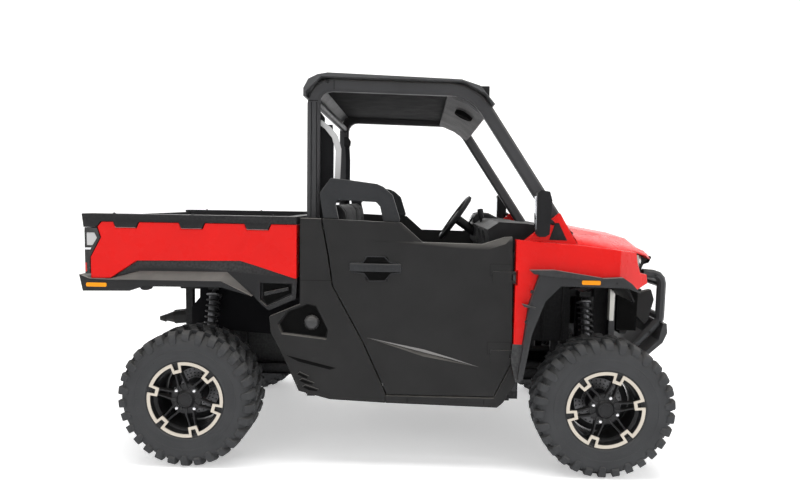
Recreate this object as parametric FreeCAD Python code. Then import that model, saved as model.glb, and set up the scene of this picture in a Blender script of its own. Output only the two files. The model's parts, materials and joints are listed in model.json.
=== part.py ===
# Side by side utility vehicle: two doors, one bench, a tipping bed and four driven wheels.
# Millimetres. +X forward, +Y the vehicle's left, +Z up; the origin is on the ground at mid-length.
import FreeCAD, Part
import math
import os

os.makedirs("parts", exist_ok=True)

V = FreeCAD.Vector
X_AXIS = V(1, 0, 0)
Y_AXIS = V(0, 1, 0)
Z_AXIS = V(0, 0, 1)

# Running clearances
SEAT_GAP = 0.3
DOOR_GAP = 8.0
BED_GAP = 16.0

# Wheels and tyres
WHEELBASE = 2040.0
FRONT_AXLE_X = 1070.0
REAR_AXLE_X = FRONT_AXLE_X - WHEELBASE
TYRE_RADIUS = 339.0
AXLE_Z = TYRE_RADIUS
OVERALL_WIDTH = 1600.0
FRONT_TYRE_WIDTH = 229.0
REAR_TYRE_WIDTH = 279.0
LUG_HEIGHT = 21.0
LUG_COUNT = 30
LUG_REACH = 0.54 * math.pi / LUG_COUNT
BEAD_RADIUS = 178.0
RIM_RADIUS = 192.0
SPOKE_COUNT = 6
FRONT_SPOKE_TURN = 19.5
REAR_SPOKE_TURN = 45.0
HUB_PLATE_RADIUS = 80.0
FRONT_WHEEL_Y = (OVERALL_WIDTH - FRONT_TYRE_WIDTH) / 2.0
REAR_WHEEL_Y = (OVERALL_WIDTH - REAR_TYRE_WIDTH) / 2.0
KINGPIN_Y = FRONT_WHEEL_Y - 85.5
UPRIGHT_Y = REAR_WHEEL_Y - 100.5

# Frame
CAB_HALF_WIDTH = OVERALL_WIDTH / 2.0 - 200.0
RAIL_Y = 230.0
RAIL_SIZE = 50.0
RAIL_Z = 365.0
RAIL_FRONT_X = FRONT_AXLE_X + 190.0
RAIL_REAR_X = REAR_AXLE_X - 190.0
SILL_TUBE_Y = CAB_HALF_WIDTH + 40.0
TUBE_HALF = 20.0
TOWER_TOP_Z = 850.0
HITCH_OUTER = 63.5
HITCH_INNER = 50.8
HITCH_PIN_RADIUS = 8.2
HITCH_TAIL_X = RAIL_REAR_X - 200.0

# Suspension, steering and driveline
TOWER_POSTS_X = (FRONT_AXLE_X - 140.0, FRONT_AXLE_X + 110.0, REAR_AXLE_X - 170.0, REAR_AXLE_X + 140.0)
NOSE_POST_X = RAIL_FRONT_X - 10.0
NOSE_POST_DEPTH = 13.0
NOSE_POST_TOP_Z = 1050.0
SHOCK_TOP_Y = RAIL_Y + 90.0
SHOCK_FOOT_Y = KINGPIN_Y - 160.0
HINGE_PIN_RADIUS = 14.0
UPPER_BALL_Z = AXLE_Z + 118.0
LOWER_BALL_Z = AXLE_Z - 108.0
UPPER_ROOT_Z = 470.0
BOSS_HALF = 17.0
KNUCKLE_REACH = 26.0
LOWER_LEG_DROP = 13.0
STEERING_ARM = 95.0
RACK_Z = 406.0
SHAFT_Z = 455.0
FRONT_CASE_Y = 110.0
REAR_CASE_Y = 130.0
ENGINE_FRONT_X = REAR_AXLE_X + 550.0
ENGINE_LENGTH = 480.0

# Cage and roof
CAGE_Y = SILL_TUBE_Y
CAGE_DEPTH = 62.0
CAGE_WIDTH = 50.0
REAR_POST_X = -368.0
ROOF_RAIL_REAR_Z = 1888.0
ROOF_RAIL_FRONT_X = 414.0
ROOF_RAIL_FRONT_Z = 1868.0
COWL_NODE_X = 875.0
COWL_NODE_Z = 1178.0
CAGE_BENDS = (90.0, 220.0)
DOOR_POST_X = 646.0
ROOF_HALF_WIDTH = CAGE_Y + 60.0
ROOF_CROWN_HALF = ROOF_HALF_WIDTH - 180.0
ROOF_SLOPE = [(440.0, ROOF_RAIL_FRONT_Z + 14.0), (514.0, ROOF_RAIL_FRONT_Z - 73.0)]
CROSS_TUBE_RADIUS = 22.5
CAGE_CROSS_TUBES = (
    (REAR_POST_X, ROOF_RAIL_REAR_Z - 73.0), (REAR_POST_X, 1330.0), (REAR_POST_X, 1000.0),
    (455.0, ROOF_RAIL_FRONT_Z - 62.0), (865.0, 1150.0),
)
SILL_CROSS_X = (REAR_POST_X, 110.0, 600.0)

# Doors
DOOR_OUTER_Y = CAGE_Y + 95.0
DOOR_THICKNESS = 42.0
DOOR_FRONT_X = 619.0
DOOR_TOP_Z = 1234.0
DOOR_SILL_Z = 1123.0
DOOR_BOTTOM_Z = 377.0
DOOR_REAR_EDGE = [
    (-310.0, DOOR_TOP_Z), (-277.0, 1064.0), (-255.0, 910.0), (-101.0, 630.0), (15.0, DOOR_BOTTOM_Z),
]
HINGE_X = DOOR_FRONT_X + 3.5
HINGE_Y = DOOR_OUTER_Y + 4.0
HINGE_RADIUS = 7.0
HINGE_BARREL = 13.0
HINGE_HEIGHTS = (580.0, 965.0)
HINGE_SPREAD = 2.2
GUARD_Y = DOOR_OUTER_Y - 35.0
GUARD_THICKNESS = 36.0

# Cargo bed
BED_HINGE_X = REAR_AXLE_X - 200.0
BED_HINGE_Z = 885.0
BED_FRONT_X = -426.0
BED_REAR_X = REAR_AXLE_X - 480.0
BED_FLOOR_Z = 940.0
BED_UNDER_Z = BED_FLOOR_Z - 25.0
BED_REST_X = REAR_AXLE_X + 490.0
BED_RAIL_Z = 1241.0
BED_PANEL_Y = DOOR_OUTER_Y + 6.0
BED_SKIRT_Y = BED_PANEL_Y + 11.0
BED_INNER_Y = BED_PANEL_Y - 101.0
BED_WALL = 22.0
BED_PANEL_TOP_Z = BED_RAIL_Z - 37.0
BED_NOTCHES = (
    (REAR_AXLE_X - 361.0, REAR_AXLE_X - 238.0), (REAR_AXLE_X - 38.0, REAR_AXLE_X + 87.0), (-686.0, -560.0),
)
BED_NOTCH_DEPTH = 28.0
TAILGATE_THICKNESS = 36.0
TAILGATE_PIN_X = BED_REAR_X - 12.0
TAILGATE_PIN_Z = BED_FLOOR_Z - 35.0
TAILGATE_HINGE_Y = 400.0

# Cab inside
FLOOR_LOW_Z = RAIL_Z + RAIL_SIZE / 2.0 + SEAT_GAP
FLOOR_THICKNESS = 12.0
CAB_REAR_X = -330.0
TUNNEL_HALF = 62.0
TUNNEL_TOP_Z = 482.0
BENCH_TOP_Z = 780.0
BENCH_BASE_Z = BENCH_TOP_Z - 110.0
BENCH_HALF = CAB_HALF_WIDTH - 40.0
BENCH_SPLIT = (60.0, 70.0)
DRIVER_Y = CAB_HALF_WIDTH - 260.0
STEERING_WHEEL_RADIUS = 170.0
COLUMN_LEAN = 35.0

# Body
FENDER_INNER_Y = CAGE_Y + 50.0
FENDER_Y = FENDER_INNER_Y + 70.0
SAIL_Y = FENDER_INNER_Y + 32.0
FENDER_TURN_X = 1090.0
NOSE_CORNER_X = 1290.0
NOSE_CORNER_Y = FENDER_INNER_Y - 190.0
FLARE_Y = OVERALL_WIDTH / 2.0 - 10.0
FLARE_INNER_Y = FENDER_INNER_Y - 20.0
STRAKE_Y = FLARE_Y + 9.0
HOOD_REAR_X = 930.0
FASCIA_HALF = 330.0
CAP_SEAT_Y = DOOR_OUTER_Y - 29.0
ARCH_LINE = [
    (644.0, 475.0), (655.0, 556.0), (667.0, 642.0), (689.0, 838.0), (736.0, 986.0), (1025.0, 974.0),
    (1128.0, 980.0), (1171.0, 951.0), (1212.0, 906.0),
]


def box(x0, x1, y0, y1, z0, z1):
    return Part.makeBox(x1 - x0, y1 - y0, z1 - z0, V(x0, y0, z0))


def side_prism(outline, y0, y1):
    # A side outline of (x, z) points, carried across from y0 to y1.
    face = Part.Face(Part.makePolygon([V(x, y0, z) for x, z in outline + outline[:1]]))
    return face.extrude(V(0, y1 - y0, 0))


def plan_prism(outline, z0, z1):
    face = Part.Face(Part.makePolygon([V(x, y, z0) for x, y in outline + outline[:1]]))
    return face.extrude(V(0, 0, z1 - z0))


def mirrored(shape):
    return shape.mirror(V(0, 0, 0), Y_AXIS)


def pair(shape):
    return [shape, mirrored(shape)]


def join(shapes):
    return shapes[0].fuse(shapes[1:]).removeSplitter()


# How far a flat of a six-sided rod lies from its centre line, as a share of its corner radius.
FLAT_SHARE = math.cos(math.pi / 6.0)


def rod(start, end, radius, sides=8):
    # A straight bar with a many-sided section.
    along = end - start
    up = Z_AXIS if abs(along.z) < 0.9 * along.Length else X_AXIS
    across = along.cross(up).normalize()
    lift = across.cross(along).normalize()
    corners = []
    for index in range(sides):
        angle = 2.0 * math.pi * (index + 0.5) / sides
        corners.append(start + across * (radius * math.cos(angle)) + lift * (radius * math.sin(angle)))
    return Part.Face(Part.makePolygon(corners + corners[:1])).extrude(along)


def profile_tube(points, bends, depth, width, corner, steps):
    # A section with broken corners, its width along Y, along a path in the side plane; bends in flat steps.
    half_depth = depth / 2.0
    half_width = width / 2.0
    section = [
        (half_depth, half_width - corner),
        (half_depth - corner, half_width),
        (corner - half_depth, half_width),
        (-half_depth, half_width - corner),
        (-half_depth, corner - half_width),
        (corner - half_depth, -half_width),
        (half_depth - corner, -half_width),
        (half_depth, corner - half_width),
    ]
    stations = [(points[0], (points[1] - points[0]).normalize())]
    for before, at, after, bend in zip(points, points[1:], points[2:], bends):
        into = (at - before).normalize()
        out = (after - at).normalize()
        turn = into.getAngle(out)
        centre = at + (out - into).normalize() * (bend / math.cos(turn / 2.0))
        inward = (centre - at + into * (bend * math.tan(turn / 2.0))).normalize()
        for step in range(steps + 1):
            angle = turn * step / steps
            spot = centre - inward * (bend * math.cos(angle)) + into * (bend * math.sin(angle))
            stations.append((spot, into * math.cos(angle) + inward * math.sin(angle)))
    stations.append((points[-1], (points[-1] - points[-2]).normalize()))
    sections = []
    for spot, along in stations:
        normal = Y_AXIS.cross(along).normalize()
        sections.append([spot + normal * n + Y_AXIS * y for n, y in section])
    return facet_loft(sections)


def ring_point(y, radius, angle):
    # A point round the Y axis; angle 0 is straight down.
    return V(radius * math.sin(angle), y, -radius * math.cos(angle))


def ring_faces(outline, start, stop):
    # Flat faces that carry a closed (y, radius) outline from one angle to another.
    faces = []
    for (y0, r0), (y1, r1) in zip(outline, outline[1:] + outline[:1]):
        corners = [ring_point(y0, r0, start), ring_point(y1, r1, start), ring_point(y1, r1, stop),
                   ring_point(y0, r0, stop)]
        faces.append(Part.Face(Part.makePolygon(corners + corners[:1])))
    return faces


def solid_of(faces):
    solid = Part.Solid(Part.makeShell(faces))
    if solid.Volume < 0:
        solid.reverse()
    return solid


def faceted_ring(outline, sectors):
    # A closed (y, radius) outline carried round the Y axis in flat facets.
    step = 2.0 * math.pi / sectors
    faces = []
    for index in range(sectors):
        faces.extend(ring_faces(outline, (index - 0.5) * step, (index + 0.5) * step))
    return solid_of(faces)


def facet_loft(sections):
    # A flat-faced solid through polygons that have the same number of corners.
    faces = [Part.Face(Part.makePolygon(end + end[:1])) for end in (sections[0], sections[-1])]
    for here, there in zip(sections, sections[1:]):
        for low in range(len(here)):
            high = (low + 1) % len(here)
            faces.append(Part.Face(Part.makePolygon([here[low], here[high], there[high], here[low]])))
            faces.append(Part.Face(Part.makePolygon([here[low], there[high], there[low], here[low]])))
    return solid_of(faces).removeSplitter()


def taper(start, end, first_radius, last_radius, sides):
    # A straight many-sided cone with its end faces square across.
    along = (end - start).normalize()
    across = along.cross(Z_AXIS).normalize()
    lift = across.cross(along)
    rings = []
    angles = [2.0 * math.pi * (index + 0.5) / sides for index in range(sides)]
    for centre, radius in ((start, first_radius), (end, last_radius)):
        rings.append([
            centre + across * (radius * math.cos(angle)) + lift * (radius * math.sin(angle))
            for angle in angles
        ])
    return facet_loft(rings)


# Wheels, built on the Y axis at the origin with the outer face towards -Y

def tyre(width):
    # Sectors with a full-width lug alternate with grooves; radial walls join their outlines.
    half = width / 2.0
    bead = half - 24.0
    base = TYRE_RADIUS - LUG_HEIGHT
    pitch = 2.0 * math.pi / LUG_COUNT
    reach = LUG_REACH
    top = TYRE_RADIUS / math.cos(reach)
    left_side = [(-bead, BEAD_RADIUS), (-half, 232.0), (-half, 276.0)]
    right_side = [(-y, r) for y, r in left_side[::-1]]
    groove_top = [(22.0 - half, base), (half - 22.0, base)]
    lug_top = [(-half, 298.0), (12.0 - half, top), (half - 12.0, top), (half, 298.0)]
    wall = lug_top + [right_side[0]] + groove_top[::-1] + [left_side[-1]]
    faces = []
    for index in range(LUG_COUNT):
        start = index * pitch - reach
        stop = index * pitch + reach
        faces.extend(ring_faces(left_side + lug_top + right_side, start, stop))
        faces.extend(ring_faces(left_side + groove_top + right_side, stop, start + pitch))
        for angle in (start, stop):
            corners = [ring_point(y, r, angle) for y, r in wall]
            faces.append(Part.Face(Part.makePolygon(corners + corners[:1])))
    return solid_of(faces)


def rim(width, first_turn):
    # Barrel, hub plate and split spokes; slots over the spokes' ends notch the machined ring.
    flange = width / 2.0 - 17.5
    edge = flange + 9.0
    inside = BEAD_RADIUS - 17.0
    seat = BEAD_RADIUS * math.cos(LUG_REACH) - SEAT_GAP
    barrel = faceted_ring([
        (-edge, RIM_RADIUS), (-flange, seat), (flange, seat), (edge, RIM_RADIUS), (edge, inside),
        (-edge, inside),
    ], 20)
    face_y = -edge + 3.0
    pieces = [
        barrel,
        rod(V(0, face_y + 8.0, 0), V(0, face_y + 44.0, 0), HUB_PLATE_RADIUS, 14),
        rod(V(0, face_y - 2.0, 0), V(0, face_y + 8.0, 0), 36.0, 10),
    ]
    slots = []
    for index in range(SPOKE_COUNT):
        turn = first_turn + 360.0 * index / SPOKE_COUNT
        spoke = side_prism([(-25.0, -172.0), (25.0, -172.0), (19.0, -136.0), (23.0, -60.0), (-23.0, -60.0),
                            (-19.0, -136.0)], face_y, face_y + 30.0)
        window = side_prism([(-9.0, -136.0), (9.0, -136.0), (12.0, -86.0), (-12.0, -86.0)],
                            face_y - 1.0, face_y + 40.0)
        slot = side_prism([(-15.0, -200.0), (15.0, -200.0), (11.0, -152.0), (-11.0, -152.0)],
                          face_y - 5.0, face_y + 9.0)
        for piece, group in ((spoke.cut(window), pieces), (slot, slots)):
            piece.rotate(V(0, 0, 0), Y_AXIS, turn)
            group.append(piece)
    return join(pieces).cut(slots)


def hub(width, wheel_y, carrier_y):
    # The hub flange with its brake disc, from the rim's centre in to the hub carrier.
    face_y = -(width / 2.0 - 17.5) - 6.0 + 44.0
    inner_y = wheel_y - carrier_y - SEAT_GAP
    barrel = rod(V(0, face_y, 0), V(0, inner_y, 0), 38.0, 10)
    disc = rod(V(0, inner_y - 22.0, 0), V(0, inner_y - 16.0, 0), 118.0, 16)
    return join([barrel, disc])


def placed_wheel(shape, axle_x, wheel_y, side):
    wheel = shape.copy() if side < 0 else mirrored(shape)
    wheel.translate(V(axle_x, side * wheel_y, AXLE_Z))
    return wheel


# Frame and running gear

def frame():
    # A ladder of box tubes, one solid a tube, with outriggers out to the sills.
    half = RAIL_SIZE / 2.0
    low = RAIL_Z - TUBE_HALF
    high = RAIL_Z + TUBE_HALF
    inner = RAIL_Y - half - SEAT_GAP
    members = SILL_CROSS_X + (
        RAIL_REAR_X + half, REAR_AXLE_X, BED_REST_X - 80.0, FRONT_AXLE_X, RAIL_FRONT_X - half,
    )
    tubes = [box(x - TUBE_HALF, x + TUBE_HALF, -inner, inner, low, high) for x in members]
    rail = box(RAIL_REAR_X, RAIL_FRONT_X, -RAIL_Y - half, -RAIL_Y + half, RAIL_Z - half, RAIL_Z + half)
    sill = box(REAR_POST_X - 32.0, DOOR_POST_X + TUBE_HALF,
               -SILL_TUBE_Y - TUBE_HALF, -SILL_TUBE_Y + TUBE_HALF, low, high)
    side = [rail, sill]
    for x in SILL_CROSS_X:
        side.append(box(x - TUBE_HALF, x + TUBE_HALF, -SILL_TUBE_Y + TUBE_HALF + SEAT_GAP,
                        -RAIL_Y - half - SEAT_GAP, low, high))
        side.append(box(x - TUBE_HALF, x + TUBE_HALF, -DOOR_OUTER_Y + DOOR_THICKNESS + SEAT_GAP,
                        -SILL_TUBE_Y - TUBE_HALF - SEAT_GAP, low, RAIL_Z))
    return tubes + [piece for one in side for piece in pair(one)] + [hitch()]


def frame_towers():
    # Posts on the rails carry the beams for the shocks, the bed's hinge and rests, and the nose.
    foot = RAIL_Z + RAIL_SIZE / 2.0 + SEAT_GAP
    beam_low = TOWER_TOP_Z - 2.0 * TUBE_HALF
    outer = -RAIL_Y - TUBE_HALF
    inner = -RAIL_Y + TUBE_HALF
    side = []
    cross = []
    for x in TOWER_POSTS_X:
        side.append(box(x - TUBE_HALF, x + TUBE_HALF, outer, inner, foot, beam_low - SEAT_GAP))
        cross.append(box(x - TUBE_HALF, x + TUBE_HALF, inner + SEAT_GAP, -inner - SEAT_GAP,
                         beam_low, TOWER_TOP_Z))
    for start, stop in ((TOWER_POSTS_X[0], TOWER_POSTS_X[1]), (BED_HINGE_X, TOWER_POSTS_X[3])):
        side.append(box(start - TUBE_HALF, stop + TUBE_HALF, outer, inner, beam_low, TOWER_TOP_Z))
    for x in (FRONT_AXLE_X, REAR_AXLE_X):
        side.append(box(x - 30.0, x + 30.0, -SHOCK_TOP_Y - TUBE_HALF, outer - SEAT_GAP,
                        TOWER_TOP_Z - 30.0, TOWER_TOP_Z))
    side.append(box(NOSE_POST_X - NOSE_POST_DEPTH, NOSE_POST_X, outer, inner, foot, NOSE_POST_TOP_Z))
    cross.append(box(NOSE_POST_X - NOSE_POST_DEPTH, NOSE_POST_X, inner + SEAT_GAP, -inner - SEAT_GAP,
                     NOSE_POST_TOP_Z - 30.0, NOSE_POST_TOP_Z))
    side.append(box(BED_REST_X - 15.0, BED_REST_X + 15.0, outer, inner, foot, BED_UNDER_Z - SEAT_GAP))
    side.append(hinge_lug())
    return cross + [piece for one in side for piece in pair(one)]


def hinge_lug():
    x = BED_HINGE_X
    z = BED_HINGE_Z
    foot = TOWER_TOP_Z + SEAT_GAP
    outline = [
        (x - 12.0, z + 19.0), (x + 12.0, z + 19.0), (x + 24.0, z + 6.0), (x + 56.0, foot), (x - 19.0, foot),
        (x - 24.0, z + 6.0),
    ]
    lug = side_prism(outline, -RAIL_Y - 8.0, -RAIL_Y + 8.0)
    return lug.cut(Part.makeCylinder(HINGE_PIN_RADIUS + 0.5, 40.0, V(x, -RAIL_Y - 20.0, z), Y_AXIS))


def hitch():
    half = HITCH_OUTER / 2.0
    bore = HITCH_INNER / 2.0
    tail = HITCH_TAIL_X
    z = RAIL_Z
    front = RAIL_REAR_X + RAIL_SIZE / 2.0 - TUBE_HALF - SEAT_GAP
    receiver = box(tail, front, -half, half, z - half, z + half)
    receiver = receiver.cut(box(tail - 1.0, front - 6.0, -bore, bore, z - bore, z + bore))
    pin = Part.makeCylinder(HITCH_PIN_RADIUS, 2.0 * half + 2.0, V(tail + 30.0, -half - 1.0, z), Y_AXIS)
    return receiver.cut(pin)


def skid_plate():
    z = RAIL_Z - RAIL_SIZE / 2.0 - SEAT_GAP
    return box(RAIL_REAR_X + RAIL_SIZE + 2.0, RAIL_FRONT_X - 20.0, -RAIL_Y - 40.0, RAIL_Y + 40.0, z - 5.0, z)


def floor_pan():
    # Floor, sloped toe board and the tunnel over the propshaft.
    low = FLOOR_LOW_Z
    high = low + FLOOR_THICKNESS
    outline = [
        (CAB_REAR_X, low), (570.0, low), (660.0, 640.0), (705.0, 860.0), (697.0, 862.0), (651.0, 644.0),
        (564.0, high), (CAB_REAR_X, high),
    ]
    sheet = side_prism(outline, -CAB_HALF_WIDTH, CAB_HALF_WIDTH)
    tunnel = box(CAB_REAR_X, 625.0, -TUNNEL_HALF, TUNNEL_HALF, low, TUNNEL_TOP_Z)
    hollow = box(CAB_REAR_X - 1.0, 720.0, 8.0 - TUNNEL_HALF, TUNNEL_HALF - 8.0, low - 1.0, TUNNEL_TOP_Z - 8.0)
    return join([sheet, tunnel]).cut(hollow)


def engine():
    return box(ENGINE_FRONT_X - ENGINE_LENGTH, ENGINE_FRONT_X, -190.0, 190.0, RAIL_Z + 20.0 + SEAT_GAP, 760.0)


def muffler():
    # A canister across the tail, and a second one along it that ends in the outlet's cone.
    rear = ENGINE_FRONT_X - ENGINE_LENGTH
    across = rear - 150.0
    can = rod(V(across, -150.0, 650.0), V(across, 180.0, 650.0), 75.0, 12)
    body = taper(V(across, 60.0, 622.0), V(across - 290.0, 60.0, 588.0), 48.0, 44.0, 10)
    cone = taper(V(across - 290.0, 60.0, 588.0), V(across - 372.0, 60.0, 580.0), 38.0, 14.0, 10)
    pipe = rod(V(across, 0, 640.0), V(rear - SEAT_GAP, 0, 640.0), 26.0, 10)
    return join([can, body, cone, pipe])


def driveline():
    seat = RAIL_Z + 20.0 + SEAT_GAP
    front_case = join([
        box(FRONT_AXLE_X - 70.0, FRONT_AXLE_X + 80.0, -75.0, 75.0, seat, 520.0),
        rod(V(FRONT_AXLE_X, -FRONT_CASE_Y, SHAFT_Z), V(FRONT_AXLE_X, FRONT_CASE_Y, SHAFT_Z), 48.0, 12),
    ])
    rear_case = join([
        box(REAR_AXLE_X - 110.0, REAR_AXLE_X + 60.0, -95.0, 95.0, seat, 560.0),
        rod(V(REAR_AXLE_X, -REAR_CASE_Y, SHAFT_Z), V(REAR_AXLE_X, REAR_CASE_Y, SHAFT_Z), 55.0, 12),
    ])
    front_end = V(FRONT_AXLE_X - 70.0 - SEAT_GAP, 0, SHAFT_Z)
    prop_shaft = rod(V(ENGINE_FRONT_X + SEAT_GAP, 0, 430.0), front_end, 18.0, 10)
    return [front_case, rear_case, prop_shaft]


def half_shaft(axle_x, case_y, hub_y):
    inner = V(axle_x, -case_y - 3.5, SHAFT_Z)
    outer = V(axle_x, -hub_y + 3.5, AXLE_Z)
    along = (outer - inner).normalize()
    return join([
        rod(inner, outer, 13.0, 6),
        rod(inner + along * 10.0, inner + along * 90.0, 40.0, 10),
        rod(outer - along * 74.0, outer - along * 14.0, 36.0, 10),
    ])


def arm(axle_x, spread, frame_z, ball_y, ball_z, radius, root_y, drop, bridge):
    # One A-arm: two legs from the frame that meet at the ball joint's boss.
    ball = V(axle_x, -ball_y, ball_z - drop)
    sleeve_radius = radius + 6.0
    legs = []
    for side in (-1, 1):
        root = V(axle_x + side * spread, -(root_y + sleeve_radius * FLAT_SHARE + SEAT_GAP), frame_z)
        legs.append(rod(root, ball, radius, 6))
        half_sleeve = V(26.0, 0, 0)
        legs.append(rod(root - half_sleeve, root + half_sleeve, sleeve_radius, 6))
    if bridge:
        share = (ball_y - SHOCK_FOOT_Y) / (ball_y - root_y)
        reach = V(spread * share + radius, 0, 0)
        middle = V(axle_x, -SHOCK_FOOT_Y, ball_z + (frame_z - ball_z) * share)
        legs.append(rod(middle - reach, middle + reach, radius - 2.0, 6))
    legs.append(rod(ball - V(0, 0, BOSS_HALF), ball + V(0, 0, BOSS_HALF + drop), 24.0, 8))
    return join(legs)


def suspension_arms():
    arms = []
    for axle_x, ball_y in ((FRONT_AXLE_X, KINGPIN_Y), (REAR_AXLE_X, UPRIGHT_Y + 17.0)):
        arms.append(arm(axle_x, 110.0, UPPER_ROOT_Z, ball_y, UPPER_BALL_Z, 14.0, RAIL_Y + 20.0, 0.0, True))
        arms.append(arm(axle_x, 130.0, RAIL_Z, ball_y, LOWER_BALL_Z, 17.0, RAIL_Y + RAIL_SIZE / 2.0,
                        LOWER_LEG_DROP, False))
    return [piece for one in arms for piece in pair(one)]


def shock(axle_x):
    top = V(axle_x, -SHOCK_TOP_Y, TOWER_TOP_Z - 30.0 - 5.0)
    foot = V(axle_x, -SHOCK_FOOT_Y, UPPER_ROOT_Z + 16.0)
    along = (top - foot).normalize()
    body = rod(foot, top, 13.0)
    spring = rod(foot + along * 60.0, top - along * 40.0, 42.0, 12)
    return join([body, spring])


def upright(axle_x):
    # The rear hub carrier between the bosses of its two arms.
    block = box(axle_x - 30.0, axle_x + 30.0, -UPRIGHT_Y - 34.0, -UPRIGHT_Y,
                LOWER_BALL_Z + BOSS_HALF + SEAT_GAP, UPPER_BALL_Z - BOSS_HALF - SEAT_GAP)
    bearing = rod(V(axle_x, -UPRIGHT_Y - 40.0, AXLE_Z), V(axle_x, -UPRIGHT_Y + 6.0, AXLE_Z), 60.0, 12)
    return join([block, bearing])


def radiator():
    front = NOSE_POST_X - NOSE_POST_DEPTH - SEAT_GAP
    return box(front - 32.0, front, -FASCIA_HALF, FASCIA_HALF, 560.0, 840.0)


# Cage, roof and cab

def hoop_corners(y):
    return [
        V(REAR_POST_X, y, RAIL_Z + 20.0 + SEAT_GAP), V(REAR_POST_X, y, ROOF_RAIL_REAR_Z),
        V(ROOF_RAIL_FRONT_X, y, ROOF_RAIL_FRONT_Z), V(COWL_NODE_X, y, COWL_NODE_Z),
    ]


def hoop_outside(offset):
    # Side-view points that lie around the hoop's outer bends at an offset from its centre line.
    corners = hoop_corners(0.0)
    points = []
    for before, corner, after, bend in zip(corners, corners[1:], corners[2:], CAGE_BENDS):
        into = (corner - before).normalize()
        out = (after - corner).normalize()
        first_normal = V(-into.z, 0, into.x)
        turn = into.getAngle(out)
        middle_way = (into - out).normalize()
        centre = corner - middle_way * (bend / math.cos(turn / 2.0))
        radius = (bend + offset) / math.cos(turn / 4.0)
        for share in (0.25, 0.75):
            angle = turn * share
            direction = first_normal * math.cos(angle) + into * math.sin(angle)
            spot = centre + direction * radius
            points.append((spot.x, spot.z))
    return points


def pillar_outside(offset, z):
    # The x of the windscreen pillar's outer edge at one height.
    top = V(ROOF_RAIL_FRONT_X, 0, ROOF_RAIL_FRONT_Z)
    foot = V(COWL_NODE_X, 0, COWL_NODE_Z)
    along = (foot - top).normalize()
    start = top + V(-along.z, 0, along.x) * offset
    return start.x + along.x * (z - start.z) / along.z


def door_hinge_block(y, z):
    # The fixed barrel of a door hinge with the bracket that carries it from the door post.
    side = -1.0 if y < 0 else 1.0
    low, high = sorted((side * (CAGE_Y + CAGE_WIDTH / 2.0 - 1.0), side * (CAGE_Y + CAGE_WIDTH / 2.0 + 6.0)))
    plate = box(HINGE_X - 1.5, DOOR_POST_X, low, high, z - HINGE_BARREL, z + HINGE_BARREL)
    low, high = sorted((side * (CAGE_Y + CAGE_WIDTH / 2.0 + 6.0), side * HINGE_Y))
    web = box(HINGE_X - 1.5, HINGE_X + 1.5, low, high, z - HINGE_BARREL, z + HINGE_BARREL)
    barrel = rod(V(HINGE_X, side * HINGE_Y, z - HINGE_BARREL), V(HINGE_X, side * HINGE_Y, z + HINGE_BARREL),
                 HINGE_RADIUS)
    return join([plate, web, barrel])


def cage():
    # One solid a side, with the cross tubes between them.
    right = [profile_tube(hoop_corners(-CAGE_Y), CAGE_BENDS, CAGE_DEPTH, CAGE_WIDTH, 11.0, 4)]
    post = [V(COWL_NODE_X, -CAGE_Y, COWL_NODE_Z + 12.0), V(DOOR_POST_X, -CAGE_Y, 1085.0),
            V(DOOR_POST_X, -CAGE_Y, RAIL_Z + TUBE_HALF + SEAT_GAP)]
    right.append(profile_tube(post, [60.0], 40.0, CAGE_WIDTH, 8.0, 3))
    right.extend([door_hinge_block(-CAGE_Y, z) for z in HINGE_HEIGHTS])
    reach = CAGE_Y - CAGE_WIDTH / 2.0 - SEAT_GAP
    tubes = [rod(V(x, -reach, z), V(x, reach, z), CROSS_TUBE_RADIUS, 10) for x, z in CAGE_CROSS_TUBES]
    return pair(join(right)) + tubes


def roof():
    inside = CAGE_DEPTH / 2.0 + SEAT_GAP
    rear_low = ROOF_RAIL_REAR_Z - 65.0
    front_low = ROOF_RAIL_FRONT_Z - 78.0
    under = [(REAR_POST_X - inside, rear_low)] + hoop_outside(inside)
    under.append((pillar_outside(inside, front_low), front_low))
    outline = [
        (-412.0, rear_low), (-412.0, ROOF_RAIL_REAR_Z - 26.0), (-388.0, ROOF_RAIL_REAR_Z + 19.0),
        (-344.0, ROOF_RAIL_REAR_Z + 40.0), (-294.0, ROOF_RAIL_REAR_Z + 49.0),
        (350.0, ROOF_RAIL_FRONT_Z + 43.0),
    ] + ROOF_SLOPE + under[::-1]
    crown = [
        (-330.0, ROOF_RAIL_REAR_Z + 38.0), (-290.0, ROOF_RAIL_REAR_Z + 56.0),
        (330.0, ROOF_RAIL_FRONT_Z + 51.0), (370.0, ROOF_RAIL_FRONT_Z + 33.0),
    ]
    sheet = side_prism(outline, -ROOF_HALF_WIDTH, ROOF_HALF_WIDTH)
    return join([sheet, side_prism(crown, -ROOF_CROWN_HALF, ROOF_CROWN_HALF)])


def roof_liner():
    inner = CAGE_Y - CAGE_WIDTH / 2.0 - 1.0
    rail = ROOF_RAIL_FRONT_Z
    outline = [
        (288.0, rail - 10.0), (288.0, rail - 24.0), (385.0, rail - 64.0), (472.0, rail - 124.0),
        (490.0, rail - 108.0), (462.0, rail - 72.0), (400.0, rail - 32.0), (340.0, rail - 8.0),
    ]
    x, z = CAGE_CROSS_TUBES[3]
    tube = Part.makeCylinder(CROSS_TUBE_RADIUS + SEAT_GAP, 2.0 * CAGE_Y, V(x, -CAGE_Y, z), Y_AXIS)
    return side_prism(outline, -inner, inner).cut(tube)


def light_bar():
    # The bar's underside follows the slope at the roof's front edge.
    (x0, z0), (x1, z1) = ROOF_SLOPE
    slope = (z1 - z0) / (x1 - x0)
    rear, foot, front = 446.0, 476.0, 504.0
    top = ROOF_RAIL_FRONT_Z + 44.0
    outline = [(rear, top), (front, top), (front, top - 64.0), (foot, z0 + slope * (foot - x0) + 0.6),
               (rear, z0 + slope * (rear - x0) + 0.6)]
    return side_prism(outline, -520.0, 520.0)


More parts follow.
